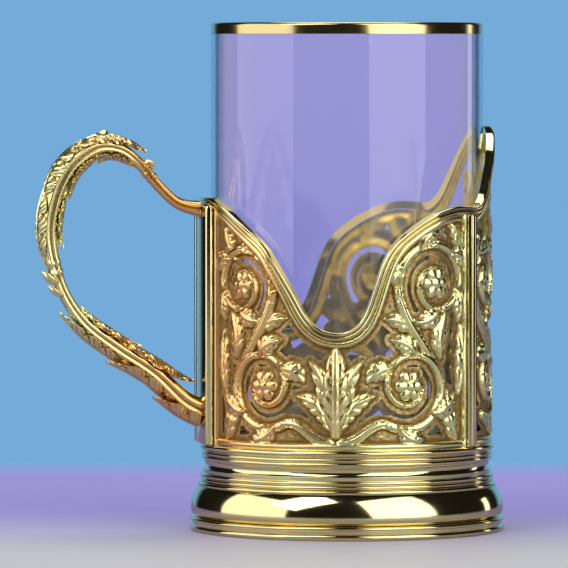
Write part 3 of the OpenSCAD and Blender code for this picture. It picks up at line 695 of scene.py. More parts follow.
def front_panel(sleeve):
    """The panel from the handle round to the seam, on the camera's side: four scrolls, a fan and leaves."""
    size = sleeve.size
    s0, s1 = 3 * size.solder, sleeve.arc(SEAM_ANGLE) - 2 * size.solder
    relief = Relief(s0, s1, sleeve.rim.max() * .8 + SLEEVE_Z * .2, size.pitch)
    vine = VineCarver(sleeve, relief)
    scrolls = [Scroll(row) for row in FRONT_SCROLL_SHARES]
    middle = (FRONT_SCROLL_SHARES[0][0] + FRONT_SCROLL_SHARES[2][0]) / 2 * sleeve.half_girth
    root = SLEEVE_Z + size.border_w
    for x, y, long, angle, bend, width in FRONT_LEAF_SHARES:
        line = vine.wall(free_line(np.array([x * SHEET_SHARE, y]), long, angle, bend, vine.steps))
        relief.leaf(line, size.leaf_w * width, top=.92)
    leaves = (LOW_LEAF_SHARES, HIGH_LEAF_SHARES)
    left, right = sleeve.on_sheet(middle - size.vine_w, root), sleeve.on_sheet(middle + size.vine_w, root)
    vine.pair(scrolls[0], scrolls[1], left, np.array([-1, 0]), BRANCH_SHARE, leaves, .42, 36)
    vine.pair(scrolls[2], scrolls[3], right, np.array([1, 0]), BRANCH_SHARE, leaves, .42, 36)
    vine.fan(sleeve.on_sheet(middle, root + size.border_w), CENTRE_FAN_SHARES)
    sides = (size.plate_w / 2 + size.border_w * .6, size.strip_w / 2 + size.border_w * .4)
    return cast_panel(sleeve, relief, bordered(sleeve, relief, s0, s1, sides))


def crest_panel(sleeve):
    """The panel opposite the handle: two scrolls a side and two fans on one stalk, the same on both sides."""
    size = sleeve.size
    s0 = sleeve.arc(SEAM_ANGLE) + 2 * size.solder
    s1 = 2 * sleeve.half_girth - s0
    relief = Relief(s0, s1, sleeve.rim.max(), size.pitch)
    scrolls = [Scroll(row) for row in CREST_SCROLL_SHARES]
    root = sleeve.on_sheet(sleeve.half_girth - size.vine_w, SLEEVE_Z + size.border_w)
    for turned_over in (False, True):
        vine = VineCarver(sleeve, relief, turned_over)
        leaves = (CREST_LEAF_SHARES, CREST_LEAF_SHARES)
        vine.pair(*scrolls, root, np.array([-1, 0]), CREST_BRANCH_SHARE, leaves, .5, 40)
    high = np.array([SHEET_SHARE, .51])
    foot = sleeve.on_sheet(sleeve.half_girth, SLEEVE_Z + size.border_w)
    vine = VineCarver(sleeve, relief)
    vine.stem(foot, [0, 1], high, [0, 1], 1, .8)
    vine.fan(high, CREST_FAN_SHARES)
    vine.fan([SHEET_SHARE, .11], LOW_FAN_SHARES)
    side = size.strip_w / 2 + size.border_w * .4
    return cast_panel(sleeve, relief, bordered(sleeve, relief, s0, s1, (side, side)))


def bordered(sleeve, relief, s0, s1, sides):
    """Lays the four borders and gives the field that is above 0 inside the panel's metal."""
    size = sleeve.size
    s, z = relief.grid[..., 0], relief.grid[..., 1]
    rim = sleeve.below_rim(s, z) - size.rim_w - size.solder
    low = z - SLEEVE_Z
    edges = [(rim, size.border_w, 2), (low, size.border_w, 2), (s - s0, sides[0], 10), (s1 - s, sides[1], 6)]
    for inside, width, crown in edges:
        relief.border(inside, width, crown)
    return np.minimum.reduce([relief.cover + size.ground_w, rim, low, s - s0, s1 - s])


# Trim on the sleeve

def rim_bead(sleeve):
    """A band along the rim with two round ridges: its depth is 0.68 + 0.32 sqrt(1 - ((|x| - 0.5) / 0.5)^2)
    of the bead's, at a share x of its half width."""
    size = sleeve.size
    half = (size.rim_w - size.solder) / 2
    s = np.linspace(0, 2 * sleeve.half_girth, 900, endpoint=False)
    step = sleeve.arc(0.5)
    ahead = np.stack([np.full(len(s), 2 * step), sleeve.rim_z(s + step) - sleeve.rim_z(s - step)], axis=-1)
    out = left_of(unit(ahead))
    x = np.cos(np.linspace(0, math.pi, 41)) * .999
    depth = .68 + .32 * np.sqrt(np.maximum(1 - ((np.abs(x) - .5) / .5) ** 2, 0))
    x = np.concatenate([x, [-.96, .96]])
    depth = np.concatenate([depth, [0, 0]])
    back = sleeve.outer - size.rim_t + size.casting_t * .2
    spot_s = s[:, None] + out[:, :1] * half * (x - 1)
    spot_z = sleeve.rim_z(s)[:, None] + out[:, 1:] * half * (x - 1)
    return skin(sleeve.place(spot_s, spot_z, back + size.rim_t * depth), closed=True)


def wall_bar(sleeve, s, across, depth, z0, z1, base):
    """An upright bar on the wall at arc length s: a section of offsets across and depths, carried from z0 to
    z1. Towards both ends its depth falls to 0.9 and then 0.7 of itself."""
    near, in_full = .08 * MM, .3 * MM
    z = np.concatenate([[z0, z0 + near], np.linspace(z0 + in_full, z1 - in_full, 12), [z1 - near, z1]])
    marks = [z0, z0 + near, z0 + in_full, z1 - in_full, z1 - near, z1]
    ease = np.interp(z, marks, [.7, .9, 1, 1, .9, .7])
    rise = np.concatenate([depth, [0, 0]])
    spots = np.concatenate([across, [across[-1], across[0]]])
    return skin(sleeve.place(s + spots[None], z[:, None], base + rise[None] * ease[:, None]))


def handle_plate(sleeve):
    """The plate by the handle: a flat face, 0.7 of the plate's depth, between two edges that rise to the
    whole of it as bells at 0.9 of the half width, each with a fine groove along its inner side."""
    size = sleeve.size
    x = np.linspace(-1, 1, 61)
    edge = bell(np.abs(x) - .90, .055)
    depth = size.plate_t * np.clip(.70 - .10 * bell(np.abs(x) - .78, .03) + .30 * edge, 0, 1)
    depth *= np.clip(1 - ((np.abs(x) - .93) / .10) ** 2 * (np.abs(x) > .93), .35, 1)
    top = sleeve.rim_z(0) - size.rim_w - size.solder
    half = size.plate_w / 2 * PLATE_R / (PLATE_R + size.solder)
    return wall_bar(sleeve, 0, x * half, depth, SLEEVE_Z + size.solder, top, sleeve.outer + size.solder)


def seam_strip(sleeve):
    """A cover strip: a half round, 0.58 + 0.42 sqrt(1 - (x / 0.5)^2) of its depth, on a flat band of 0.58."""
    size = sleeve.size
    x = np.linspace(-1, 1, 49)
    round_share = np.sqrt(np.maximum(1 - (x / .5) ** 2, 0))
    band = .58 * np.clip((1 - np.abs(x)) / .08, .4, 1)
    depth = size.strip_t * np.where(np.abs(x) < .5, .58 + .42 * round_share, band)
    s = sleeve.arc(SEAM_ANGLE)
    top = sleeve.rim_z(s) - size.rim_w - size.solder
    return wall_bar(
        sleeve, s, x * size.strip_w / 2, depth, SLEEVE_Z + size.solder, top, sleeve.outer + size.solder
    )


def turned_over(points, faces):
    """The same surface mirrored to the far side, y to -y, with its faces turned back outwards."""
    return points * np.array([1, -1, 1]), [f[:, ::-1] for f in faces]


# The handle

# From its lower seat over its crown to the rim: shares of its reach and of its height, then its thickness
# and its depth as shares of the slender stem's
HANDLE_SHARES = np.array([
    [-.06, -.01, 1.9, 1.5], [.10, .035, 1.6, 1.35], [.31, .143, 1.35, 1.2], [.57, .240, 1.25, 1.1],
    [.78, .335, 1.05, 1], [.925, .465, .95, .95], [1, .635, 1.2, 1], [.975, .775, 1.35, 1.15],
    [.875, .895, 1.4, 1.2], [.70, .968, 1.25, 1.1], [.535, .966, 1, 1], [.40, .912, .9, .95],
    [.25, .818, .85, .9], [.125, .762, .95, 1], [-.06, .74, 1.4, 1.25]
])
# Leaves: where they start and end along the handle, their turn round it from its outer side, curl as a share
# of the stem, width and lobes
HANDLE_LEAF_SHARES = [
    [.0, 1.62, 0, .55, 1, 3], [1.25, 2.95, 0, .50, .95, 3], [2.5, 4.5, 0, .40, .85, 4],
    [5.45, 7.3, 0, .04, .85, 4], [6.9, 8.75, 0, .16, .95, 4], [8.3, 10.9, 0, .42, .90, 5],
    [4.3, 2.5, 180, .30, .70, 4], [3.0, 1.15, 180, .75, .85, 4],
    [10.9, 8.9, 180, .35, .70, 4], [9.1, 7.2, 180, .35, .75, 4], [7.4, 5.75, 180, .20, .62, 4]
]
# Collars round the stem: place along it and how far they stand out
HANDLE_COLLAR_SHARES = [[5.3, .22], [5.5, .14], [11.35, .22], [11.55, .14]]
# Pairs of side buds: place along the handle, and size as a share of the stem's thickness. Then the knob's
HANDLE_BUD_SHARES = [[4.75, .55], [5.05, .7], [11.0, .6]]
KNOB_PLACE, KNOB_SHARE = 9.25, 1.25


class Handle:
    """The handle's line in the plane of X and Z, and places by it."""

    def __init__(self, size):
        self.size = size
        self.seat = PLATE_R + size.solder
        reach = size.handle_reach - size.plate_t - 2 * size.solder - size.stem_t * .6
        self.knots = np.stack([
            self.seat + HANDLE_SHARES[:, 0] * reach,
            SLEEVE_Z + size.handle_z + HANDLE_SHARES[:, 1] * size.handle_h,
            HANDLE_SHARES[:, 2] * size.stem_t,
            HANDLE_SHARES[:, 3] * size.stem_depth
        ], axis=-1)
        self.last = len(self.knots) - 1

    def at(self, u):
        """Reach, height, thickness and depth at u, which counts knots, on a Catmull-Rom curve through the
        knots."""
        u = np.asarray(u, float)[..., None]
        i = np.clip(np.floor(u[..., 0]).astype(int), 0, self.last - 1)
        f = u - i[..., None]
        a, b, c, d = (self.knots[np.clip(i + k, 0, self.last)] for k in (-1, 0, 1, 2))
        bend = (2 * a - 5 * b + 4 * c - d) * f ** 2 + (3 * b - a - 3 * c + d) * f ** 3
        return (2 * b + (c - a) * f + bend) / 2

    def by(self, u, lift, across):
        """The place at u, lifted square to the line on its outer side, and off to the side along Y."""
        p = self.at(u)
        n = left_of(unit(self.at(np.asarray(u) + .05)[..., :2] - self.at(np.asarray(u) - .05)[..., :2]))
        x = -(p[..., 0] - n[..., 0] * lift)
        z = p[..., 1] - n[..., 1] * lift
        spots = np.stack(np.broadcast_arrays(x, across, z), axis=-1)
        return self.clear_of_plate(spots)

    def clear_of_plate(self, p):
        """Places nearer the axis than the plate's face move out to it, along X."""
        y = np.clip(p[..., 1], -self.seat * .9, self.seat * .9)
        face = -np.sqrt(self.seat ** 2 - y ** 2)
        return np.stack([np.minimum(p[..., 0], face), p[..., 1], p[..., 2]], axis=-1)

    def stem(self):
        """A rounded section with a furrow down both flanks, swollen at the collars."""
        u = np.linspace(0, self.last, 440)[:, None]
        a = (np.arange(40) + .5) / 40 * 2 * math.pi
        p = self.at(u[:, 0])
        swell = 1 + sum(share * bell(u - at, .055) for at, share in HANDLE_COLLAR_SHARES)
        lift = p[:, 2:3] / 2 * np.cos(a) * swell
        furrow = 1 - (.22 + .16 * np.clip(u - 10.5, 0, 1)) * bell(np.cos(a), .30)
        across = p[:, 3:4] / 2 * np.sin(a) * furrow * swell
        return skin(self.by(np.broadcast_to(u, lift.shape), lift, across))

    def leaf(self, u0, u1, turn, curl, width, lobes):
        """A lobed leaf laid round the stem, whose tip curls off it as the cube of its length.

        Across it the angle round the stem runs over turn +- 80 width leaf_half degrees, drawn in to half of
        that between the lobes, where |cos(180 n q)| is 0. Its height over the stem is its rise, with a pillow
        on each lobe and a rib down the middle.
        """
        stem_t = self.size.stem_t
        q = np.linspace(0, 1, 100)[:, None]
        x = np.linspace(-1, 1, 33)[None]
        u = np.broadcast_to(u0 + (u1 - u0) * q, (len(q), 2 * x.size))
        p = self.at(u[:, :1])
        edge = np.abs(np.cos(math.pi * lobes * q))
        span = np.radians(80 * width) * leaf_half(q) * (.52 + .48 * edge ** .6)
        across = lobes * (q + .13 * (1 - np.abs(x)))
        lobe = np.abs(np.cos(math.pi * across))
        side = np.minimum(1.6 * np.abs(x), 1)
        lift = .06 + .30 * leaf_rise(q) * np.minimum(.3 + 3 * q, 1) * (1 - .62 * x ** 2)
        lift += .15 * (np.sqrt(lobe) - 1) * side + .05 * bell(x, .07) - .06 * bell(np.abs(x) - .17, .07)
        lift += .045 * np.cos(6 * math.pi * across) * side * leaf_half(q)
        lift = stem_t * (lift + .10 * lobe * leaf_half(q) * x ** 4 + curl * q ** 3)
        under = lift - stem_t * (.10 + .14 * (1 - x ** 2)) * (1 - .5 * q)
        height = np.concatenate([lift, under[:, ::-1]], axis=1)
        angle = math.radians(turn) + span * np.concatenate([x, x[:, ::-1]], axis=1)
        rise = (p[..., 2] / 2 + height) * np.cos(angle)
        return skin(self.by(u, rise, (p[..., 3] / 2 + height) * np.sin(angle)))

    def bud(self, u, size, along=.32, flank=0):
        """A small drop: rings about a line out from the stem, at share q of it with a radius of
        size / 2 sin(180 (0.06 + 0.9 q))^0.8 (1.1 - 0.45 q), and four faint ridges."""
        p = self.at(np.array([u]))[0]
        start = self.by(u, p[2] * .18, flank * p[3] * .30)
        end = self.by(u + along, p[2] * .5 + size * .55, flank * (p[3] * .5 + size * .45))
        axis = unit(end - start)
        first = unit(np.cross(axis, [0, 1, 0]))
        second = np.cross(axis, first)
        q = np.linspace(0, 1, 18)[:, None, None]
        turn = (np.arange(20) / 20 * 2 * math.pi)[None, :, None]
        radius = size * .5 * np.sin(math.pi * (.06 + .9 * q)) ** .8 * (1.1 - .45 * q)
        ridge = 1 + .10 * np.cos(4 * turn)
        rings = start + (end - start) * q + radius * ridge * (first * np.cos(turn) + second * np.sin(turn))
        return skin(self.clear_of_plate(rings))

    def shape(self):
        """Stem, leaves, side buds and the knob on the crown, as one casting."""
        stem_t = self.size.stem_t
        parts = [self.stem()]
        parts += [self.leaf(*row) for row in HANDLE_LEAF_SHARES]
        for u, share in HANDLE_BUD_SHARES:
            parts += [self.bud(u, stem_t * share, flank=flank) for flank in (-1, 1)]
        parts.append(self.bud(KNOB_PLACE, stem_t * KNOB_SHARE, along=.2))
        return joined(parts)


# Turned pieces

def arc(r, z, radius, a0, a1, steps=24):
    """Places on a circle about (r, z) in the half section, from one angle to another."""
    return np.array([r, z]) + radius * compass(np.linspace(a0, a1, steps))


def half_chord(offset, radius):
    """Half of a circle's chord at an offset from its centre, sqrt(R^2 - d^2), and 0 past its edge."""
    return np.sqrt(np.maximum(radius ** 2 - offset ** 2, 0))


def collar_profile(sleeve):
    """The collar's half section. Outside, its radius at a height is the largest of the wall's and of the
    beads', centre plus half a chord, and in the cove the circle's near side."""
    size = sleeve.size
    wall = sleeve.outer - size.collar_bead * .6
    step = size.reed_r * 1.9
    reed = SLEEVE_Z - 2 * size.collar_bead
    height = SLEEVE_Z - FOOT_H
    beads = [
        (wall, SLEEVE_Z - size.collar_bead, size.collar_bead),
        (wall - size.reed_r * .3, reed - step * .75, size.reed_r),
        (wall - size.reed_r * .3, reed - step * 1.75, size.reed_r),
        (wall, FOOT_H + size.reed_r, size.reed_r),
        (wall + size.reed_r * .3, FOOT_H + size.reed_r + step, size.reed_r)
    ]
    z = np.linspace(FOOT_H, SLEEVE_Z, 220)
    radius = np.full(len(z), wall - .12 * MM)
    for centre, at, r in beads:
        radius = np.maximum(radius, np.where(np.abs(z - at) < r, centre + half_chord(z - at, r), 0))
    cove_r = height * .16
    from_cove = z - FOOT_H - height * .44
    cove = wall + cove_r * .62 - half_chord(from_cove, cove_r)
    radius = np.where(np.abs(from_cove) < cove_r, np.minimum(radius, cove), radius)
    inner = sleeve.inner
    ledge = inner - FLOOR_T * 1.6
    ledge_z = FLOOR_Z - FLOOR_T
    inside = [[inner, SLEEVE_Z], [inner, ledge_z], [ledge, ledge_z], [ledge, FOOT_H]]
    return np.vstack([np.stack([radius, z], axis=-1), inside])


def foot_profile(size):
    """The foot's half section: web, roll, flared belly, tuck and flange, a sheet of even thickness.

    The belly is a long arc, widest low down, where a short arc tucks it in under itself to the ring.
    """
    widest = FOOT_R - size.foot_t * .2
    widest_z = RING_H + size.belly_r * .42
    flare_r = size.belly_r * 2.4
    tuck = 78           # degrees that the belly turns in below its widest line
    tuck_r = (widest_z - RING_H) / math.sin(math.radians(tuck))
    web_z = FOOT_H - size.foot_t * 1.2
    hole_r, bevel = size.hole_d / 2, .1 * MM
    roll_r = size.foot_t * .62
    roll = FOOT_R - size.belly_r * .63
    flange = FOOT_R - size.belly_r - size.foot_t * 1.2
    ledge_z = RING_H + size.foot_t * .7
    inner_r = flare_r - size.foot_t
    inner_top = math.degrees(math.asin((web_z - widest_z) / inner_r))
    return np.vstack([
        [[hole_r, web_z], [hole_r, FOOT_H - bevel], [hole_r + bevel, FOOT_H]],
        arc(roll, FOOT_H - roll_r, roll_r, 90, -40, 20),
        arc(widest - flare_r, widest_z, flare_r, 32, 0, 60),
        arc(widest - tuck_r, widest_z, tuck_r, -6, -tuck, 20),
        [[flange, RING_H], [flange, ledge_z], [widest - tuck_r, ledge_z]],
        arc(widest - flare_r, widest_z, inner_r, 0, inner_top, 40)
    ])


def foot_ring_profile(size):
    """The ring's half section: a base bead, a groove and a ridge."""
    ridge = RING_H * .16
    base = RING_H * .24
    outer = FOOT_R - ridge
    inner = FOOT_R - size.ring_w - base
    groove_r, groove_z = FOOT_R + ridge * .4, RING_H * .58
    cut = ridge * 1.05
    z = np.linspace(0, RING_H, 120)
    bead = np.where(z < 2 * base, FOOT_R - base + half_chord(z - base, base), outer)
    crest = outer + half_chord(z - RING_H + ridge, ridge)
    radius = np.where(z > RING_H - 2 * ridge, crest, np.maximum(bead, outer * (z < 2 * base)))
    near = groove_r - half_chord(z - groove_z, cut)
    radius = np.where(np.abs(z - groove_z) < cut, np.minimum(radius, near), radius)
    bevel_top, bevel_low = .2 * MM, .3 * MM
    return np.vstack([
        np.stack([radius, z], axis=-1),
        [[inner + bevel_top, RING_H], [inner, RING_H - bevel_top]],
        [[inner, bevel_low], [inner + bevel_low, 0]]
    ])


def glass_profile(size):
    """The glass's half section from the middle of its hollow underside, up its outside, over the lip, down
    its inside and back to the axis. It leaves room for the gilt line."""
    lip = size.glass_wall / 2
    lip_z = GLASS_TOP - lip
    wall_r = GLASS_R - size.glass_wall
    corner = size.glass_corner
    dish = GLASS_R - 2 * corner
    dish_r = np.linspace(0, dish, 16)
    dish_z = GLASS_Z + size.glass_dish * (1 - (dish_r / dish) ** 3)
    line_z = lip_z - size.gilt_h
    floor_z = GLASS_Z + size.glass_floor
    return np.vstack([
        np.stack([dish_r, dish_z], axis=-1),
        arc(GLASS_R - corner, GLASS_Z + corner, corner, -90, 0),
        [[GLASS_R, line_z - .05 * MM], [GLASS_R - size.gilt_t, line_z]],
        arc(GLASS_R - lip, lip_z, lip - size.gilt_t, 0, 180),
        [[wall_r, lip_z - .1 * MM], [wall_r, floor_z + corner + .1 * MM]],
        arc(wall_r - corner, floor_z + corner, corner, 0, -90),
        [[0, floor_z]]
    ])


def gilt_profile(size):
    """The gilt line's half section: a thin skin up the outside and over the lip."""
    lip = size.glass_wall / 2
    lip_z = GLASS_TOP - lip
    low = lip_z - size.gilt_h
    return np.vstack([
        [[GLASS_R - size.gilt_t, low], [GLASS_R, low]],
        arc(GLASS_R - lip, lip_z, lip, 0, 180, 30),
        arc(GLASS_R - lip, lip_z, lip - size.gilt_t, 180, 0, 30)
    ])


# Finishes

class Nodes:
    """A node tree, and short ways to add to it."""

    def __init__(self, tree):
        self.nodes, self.links = tree.nodes, tree.links

    def put(self, socket, value):
        """A value or a link in an input."""
        if isinstance(value, bpy.types.NodeSocket):
            self.links.new(value, socket)
        else:
            socket.default_value = value

    def add(self, kind, inputs=None, **settings):
        """A node with its settings, and with a value or a link in each named input."""
        made = self.nodes.new("ShaderNode" + kind)
        for key, value in settings.items():
            setattr(made, key, value)
        for key, value in (inputs or {}).items():
            self.put(made.inputs[key], value)
        return made.outputs

    def math(self, operation, *values):
        """A sum, product or comparison of values."""
        return self.add("Math", dict(enumerate(values)), operation=operation)[0]

    def along(self, vector, direction):
        """How far a vector goes in a direction, their dot product."""
        return self.add("VectorMath", {0: vector, 1: tuple(direction)}, operation="DOT_PRODUCT")["Value"]

    def ramp(self, value, start, end, low=0.0, high=1.0, kind="LINEAR"):
        """A value brought from start and end to low and high, and held between them."""
        return self.add("MapRange", {
            "Value": value, "From Min": start, "From Max": end, "To Min": low, "To Max": high
        }, interpolation_type=kind)["Result"]

    def mixed(self, share, a, b):
        """Colour a turning to colour b by a share. In the node's sockets, 0 is the share, 6 and 7 are
        the colours."""
        return self.add("Mix", {0: share, 6: a, 7: b}, data_type="RGBA")[2]

    def mixed_shader(self, share, a, b):
        """Shader a turning to shader b by a share."""
        return self.add("MixShader", {0: share, 1: a, 2: b})[0]


class Finish(Nodes):
    """A node material with a Principled shader."""

    def __init__(self, name):
        self.material = bpy.data.materials.new(name)
        self.material.use_nodes = True
        super().__init__(self.material.node_tree)
        self.shader = self.nodes["Principled BSDF"]
        self.coords = self.add("TexCoord")["Object"]

    def noise(self, scale, detail=3, vector=None, roughness=.5):
        """Noise with so many features to the metre."""
        return self.add("TexNoise", {
            "Vector": vector or self.coords, "Scale": scale, "Detail": detail, "Roughness": roughness
        })["Fac"]

    def ranged(self, value, low, high):
        """A value from 0 to 1 brought to run from low to high."""
        return self.ramp(value, 0, 1, low, high)

    def set(self, name, value):
        """A value or a link in one of the shader's own sockets."""
        self.put(self.shader.inputs[name], value)

    def bumped(self, height, depth):
        """Roughens the surface by a height from 0 to 1, so many metres deep."""
        self.set("Normal", self.add("Bump", {"Height": height, "Strength": 1.0, "Distance": depth})["Normal"])


# Shares of red, green and blue by which a metal's colour shifts in patches, to its redder side and to its
# greener one: the first pair at random, the second for the painted warm reflection by the handle
TARNISHED = ((1.02, .92, .80), (.95, 1.02, 1.0))
WARM_REFLECTION = ((1.04, .77, .58), (1.0, 1.11, 1.02))
# The painted warm reflection by the handle: its middle along X, where it starts and ends from there, and how
# far it moves the patches
REFLECTION_MIDDLE, REFLECTION_START, REFLECTION_END, REFLECTION_SHIFT = -38 * MM, 10 * MM, 32 * MM, .42
SHADE_AND_GRIME_JITTER = .18             # how far fine noise moves the edge of the painted shade in the recesses, and of the chance dark patches
DULL = .26              # how much rougher a recess is


def metal(name, base, hollow, rough, spun=0, pits=0.0, carved=True, painted_light=False):
    """A metal whose recesses, where the relief attribute falls to 0, turn dull and dark: painted shade with
    old gilt. Where nothing is carved, noise stands in for the attribute.

    Noise shifts its colour in patches, from redder to greener, and its roughness by smears. Where it is asked
    for, a painted warm reflection makes it redder where the handle meets the sleeve and greener away from it,
    by a ramp of its distance along X from there. spun lines run round it, so many to the metre, and pits, so
    many metres deep, give the skin of a casting.
    """
    kept = bpy.data.materials.get(name)
    if kept:
        return kept
    finish = Finish(name)
    finish.set("Metallic", 1.0)
    relief = finish.add("Attribute", attribute_name="relief")["Fac"] if carved else finish.noise(400, 3)
    patches = finish.noise(70, 4)
    # Painted warm reflection: the patches shift redder near the handle, by place along X, and greener away
    # from it
    if painted_light:
        x = finish.add("SeparateXYZ", {0: finish.coords})["X"]
        away = finish.math("ABSOLUTE", finish.math("ADD", x, -REFLECTION_MIDDLE))
        shift = finish.ramp(away, REFLECTION_START, REFLECTION_END, -REFLECTION_SHIFT, REFLECTION_SHIFT)
        patches = finish.math("ADD", patches, shift)
    warm, cool = (
        (*np.clip(np.array(base[:3]) * share, 0, 1), 1) for share in (WARM_REFLECTION if painted_light else TARNISHED)
    )
    face = finish.mixed(finish.ranged(patches, -.2, 1.2), warm, cool)
    # Painted shade with old gilt: where the relief attribute, moved by fine noise, falls low, the colour
    # turns to the hollow colour
    shade = finish.math("ADD", relief, finish.ranged(finish.noise(900, 3), -SHADE_AND_GRIME_JITTER, SHADE_AND_GRIME_JITTER))
    share = finish.ramp(shade, .02, .50)
    finish.set("Base Color", finish.mixed(share, hollow, face))
    smear = finish.ranged(finish.noise(220, 5, roughness=.65), rough * .7, rough * 1.35)
    finish.set("Roughness", finish.math("ADD", smear, finish.math("MULTIPLY_ADD", share, -DULL, DULL)))
    if spun:
        spread = finish.add("Mapping", {"Vector": finish.coords, "Scale": (12, 12, spun)})["Vector"]
        finish.bumped(finish.noise(1, 2, spread), .003 * MM)
    if pits:
        cells = finish.add("TexVoronoi", {"Vector": finish.coords, "Scale": 1500.0})["Distance"]
        skin_of_casting = finish.noise(1800, 4, roughness=.6)
        finish.bumped(finish.add("Mix", {
            0: share, 2: finish.ranged(cells, 0, 3), 3: skin_of_casting
        })[0], pits)
    return finish.material


def clear_glass(colours):
    """Clear glass: seen through, with a breath of haze where it is seen face on, a cooler edge where it is
    seen from the side, hardly any smears in its roughness and the faintest waves."""
    finish = Finish("tumbler_glass")
    facing = finish.add("LayerWeight", {"Blend": .5})["Facing"]
    body = finish.mixed(finish.noise(30, 2), colours.glass, (.96, .93, 1, 1))
    finish.set("Base Color", finish.mixed(finish.ramp(facing, .62, .95), body, (.58, .80, .95, 1)))
    finish.set("Transmission Weight", finish.ramp(facing, .2, .75, .968, 1.0))
    finish.set("IOR", 1.5)
    finish.set("Roughness", finish.ranged(finish.noise(60, 3), 0, .02))
    finish.bumped(finish.noise(25, 1), .02 * MM)
    return finish.material


def gilt(context):
    """Polished gilt brass with the lines of spinning, and painted shade with old gilt in its grooves."""
    colours = context.scene.tea_glass_colours
    return metal("polished_gilt", colours.gilt, colours.groove_shade_and_tarnish, .09, spun=3000)


def cast(context):
    """Gilt brass as cast and chased, with painted shade and old gilt in its recesses, and a painted warm
    reflection by the handle.
    """
    colours = context.scene.tea_glass_colours
    return metal("chased_gilt", colours.cast, colours.recess, .24, pits=.02 * MM, painted_light=True)


def inside_brass(context):
    """Satin brass inside the holder."""
    colours = context.scene.tea_glass_colours
    return metal("inner_brass", colours.inside, colours.recess, .30, spun=1500, carved=False)


def steel(context):
    """Plated steel of the clamp."""
    colours = context.scene.tea_glass_colours
    return metal("bright_plating", colours.steel, colours.steel, .25, pits=.01 * MM, carved=False)


def gold_line(context):
    """Gold fired on at the lip of the glass."""
    colours = context.scene.tea_glass_colours
    return metal("fired_gold", colours.line, colours.line, .14, spun=1200)


# Operators

class TeaGlassOperator:
    """What the operators share: undo, and the sizes and the sleeve."""

    bl_options = {"REGISTER", "UNDO"}

    def sizes(self, context):
        """The sizes that the scene holds."""
        return context.scene.tea_glass_sizes

    def sleeve(self, context):
        """The sleeve of those sizes."""
        return Sleeve(context.scene.tea_glass_sizes)


class TEAGLASS_OT_base(TeaGlassOperator, bpy.types.Operator):
    """Makes the spun foot, its ring and the reeded collar"""

    bl_idname = "teaglass.base"
    bl_label = "Foot and Collar"

    def execute(self, context):
        size = self.sizes(context)
        material = gilt(context)
        for name, profile in (
            ("foot", foot_profile(size)), ("foot_ring", foot_ring_profile(size)),
            ("collar", collar_profile(self.sleeve(context)))
        ):
            piece(name + "_spun", turned(profile), HOLDER, material, [name])
        return {"FINISHED"}


class TEAGLASS_OT_clamp(TeaGlassOperator, bpy.types.Operator):
    """Gives the floor disc, the clamping screw, its washer and its nut their finishes"""

    bl_idname = "teaglass.clamp"
    bl_label = "Floor and Clamp"

    def execute(self, context):
        dress("floor_disc", inside_brass(context))
        for node in ("clamp_screw", "clamp_washer", "clamp_nut"):
            dress(node, steel(context))
        return {"FINISHED"}


class TEAGLASS_OT_panels(TeaGlassOperator, bpy.types.Operator):
    """Makes the three openwork panels with their vine relief"""

    bl_idname = "teaglass.panels"
    bl_label = "Openwork Panels"

    def execute(self, context):
        sleeve = self.sleeve(context)
        material, lining = cast(context), inside_brass(context)
        *near, field = front_panel(sleeve)
        *crest, crest_field = crest_panel(sleeve)
        for name, shape, relief in (
            ("panel_front", near, field), ("panel_back", turned_over(*near), field),
            ("crest_panel", crest, crest_field)
        ):
            piece(
                name + "_relief", shape, HOLDER, material, [name], CASTING_CREASE, relief,
                lining
            )
        return {"FINISHED"}


class TEAGLASS_OT_trim(TeaGlassOperator, bpy.types.Operator):
    """Makes the rim bead, the cover strips over the seams and the plate of the handle"""

    bl_idname = "teaglass.trim"
    bl_label = "Rim and Strips"

    def execute(self, context):
        sleeve = self.sleeve(context)
        strip = seam_strip(sleeve)
        for name, form, shape in (
            ("rim_bead", "_ridged", rim_bead(sleeve)), ("handle_plate", "_edged", handle_plate(sleeve)),
            ("seam_strip_front", "_round", strip), ("seam_strip_back", "_round", turned_over(*strip))
        ):
            piece(name + form, shape, HOLDER, gilt(context), [name])
        return {"FINISHED"}


class TEAGLASS_OT_handle(TeaGlassOperator, bpy.types.Operator):
    """Makes the scrolled handle with its leaves and buds"""

    bl_idname = "teaglass.handle"
    bl_label = "Handle"

    def execute(self, context):
        shape = Handle(self.sizes(context)).shape()
        piece("handle_leafed", shape, HOLDER, cast(context), ["handle"], CASTING_CREASE)
        return {"FINISHED"}


class TEAGLASS_OT_glass(TeaGlassOperator, bpy.types.Operator):
    """Makes the tea glass and the gilt line at its lip"""

    bl_idname = "teaglass.glass"
    bl_label = "Tea Glass"

    def execute(self, context):
        size = self.sizes(context)
        clear = clear_glass(context.scene.tea_glass_colours)
        piece("tea_glass_clear", turned(glass_profile(size)), GLASS, clear, ["tea_glass"])
        line = turned(gilt_profile(size))
        piece("gilt_line_skin", line, GLASS, gold_line(context), ["gilt_line"])
        return {"FINISHED"}


# Softboxes: azimuth from the camera, distance, height of the middle, height aimed at, width, length, roll
# and power. In turn: a broad one on the left, a tilted one over it, a broad one on the right, one overhead
# and a small one low behind on the right
LAMPS = (
    (-76, 1.5, .62, .55, 1.75, 1.35, 0, 9.5),
    (-38, 1.35, 1.12, .06, .8, 1.2, -38, 8),
    (40, 1.5, .82, .62, 1.5, 1.8, 8, 17),
    (180, .4, 1.5, .06, 1.2, .8, 0, 8),
    (126, 1.5, .15, .15, .20, .5, 0, .5)
)
# Between which depths, towards the camera, the floor changes its tone, and the length of its faded end
TONE_CHANGE = (-.07, .09)
FLOOR_FADE = .06
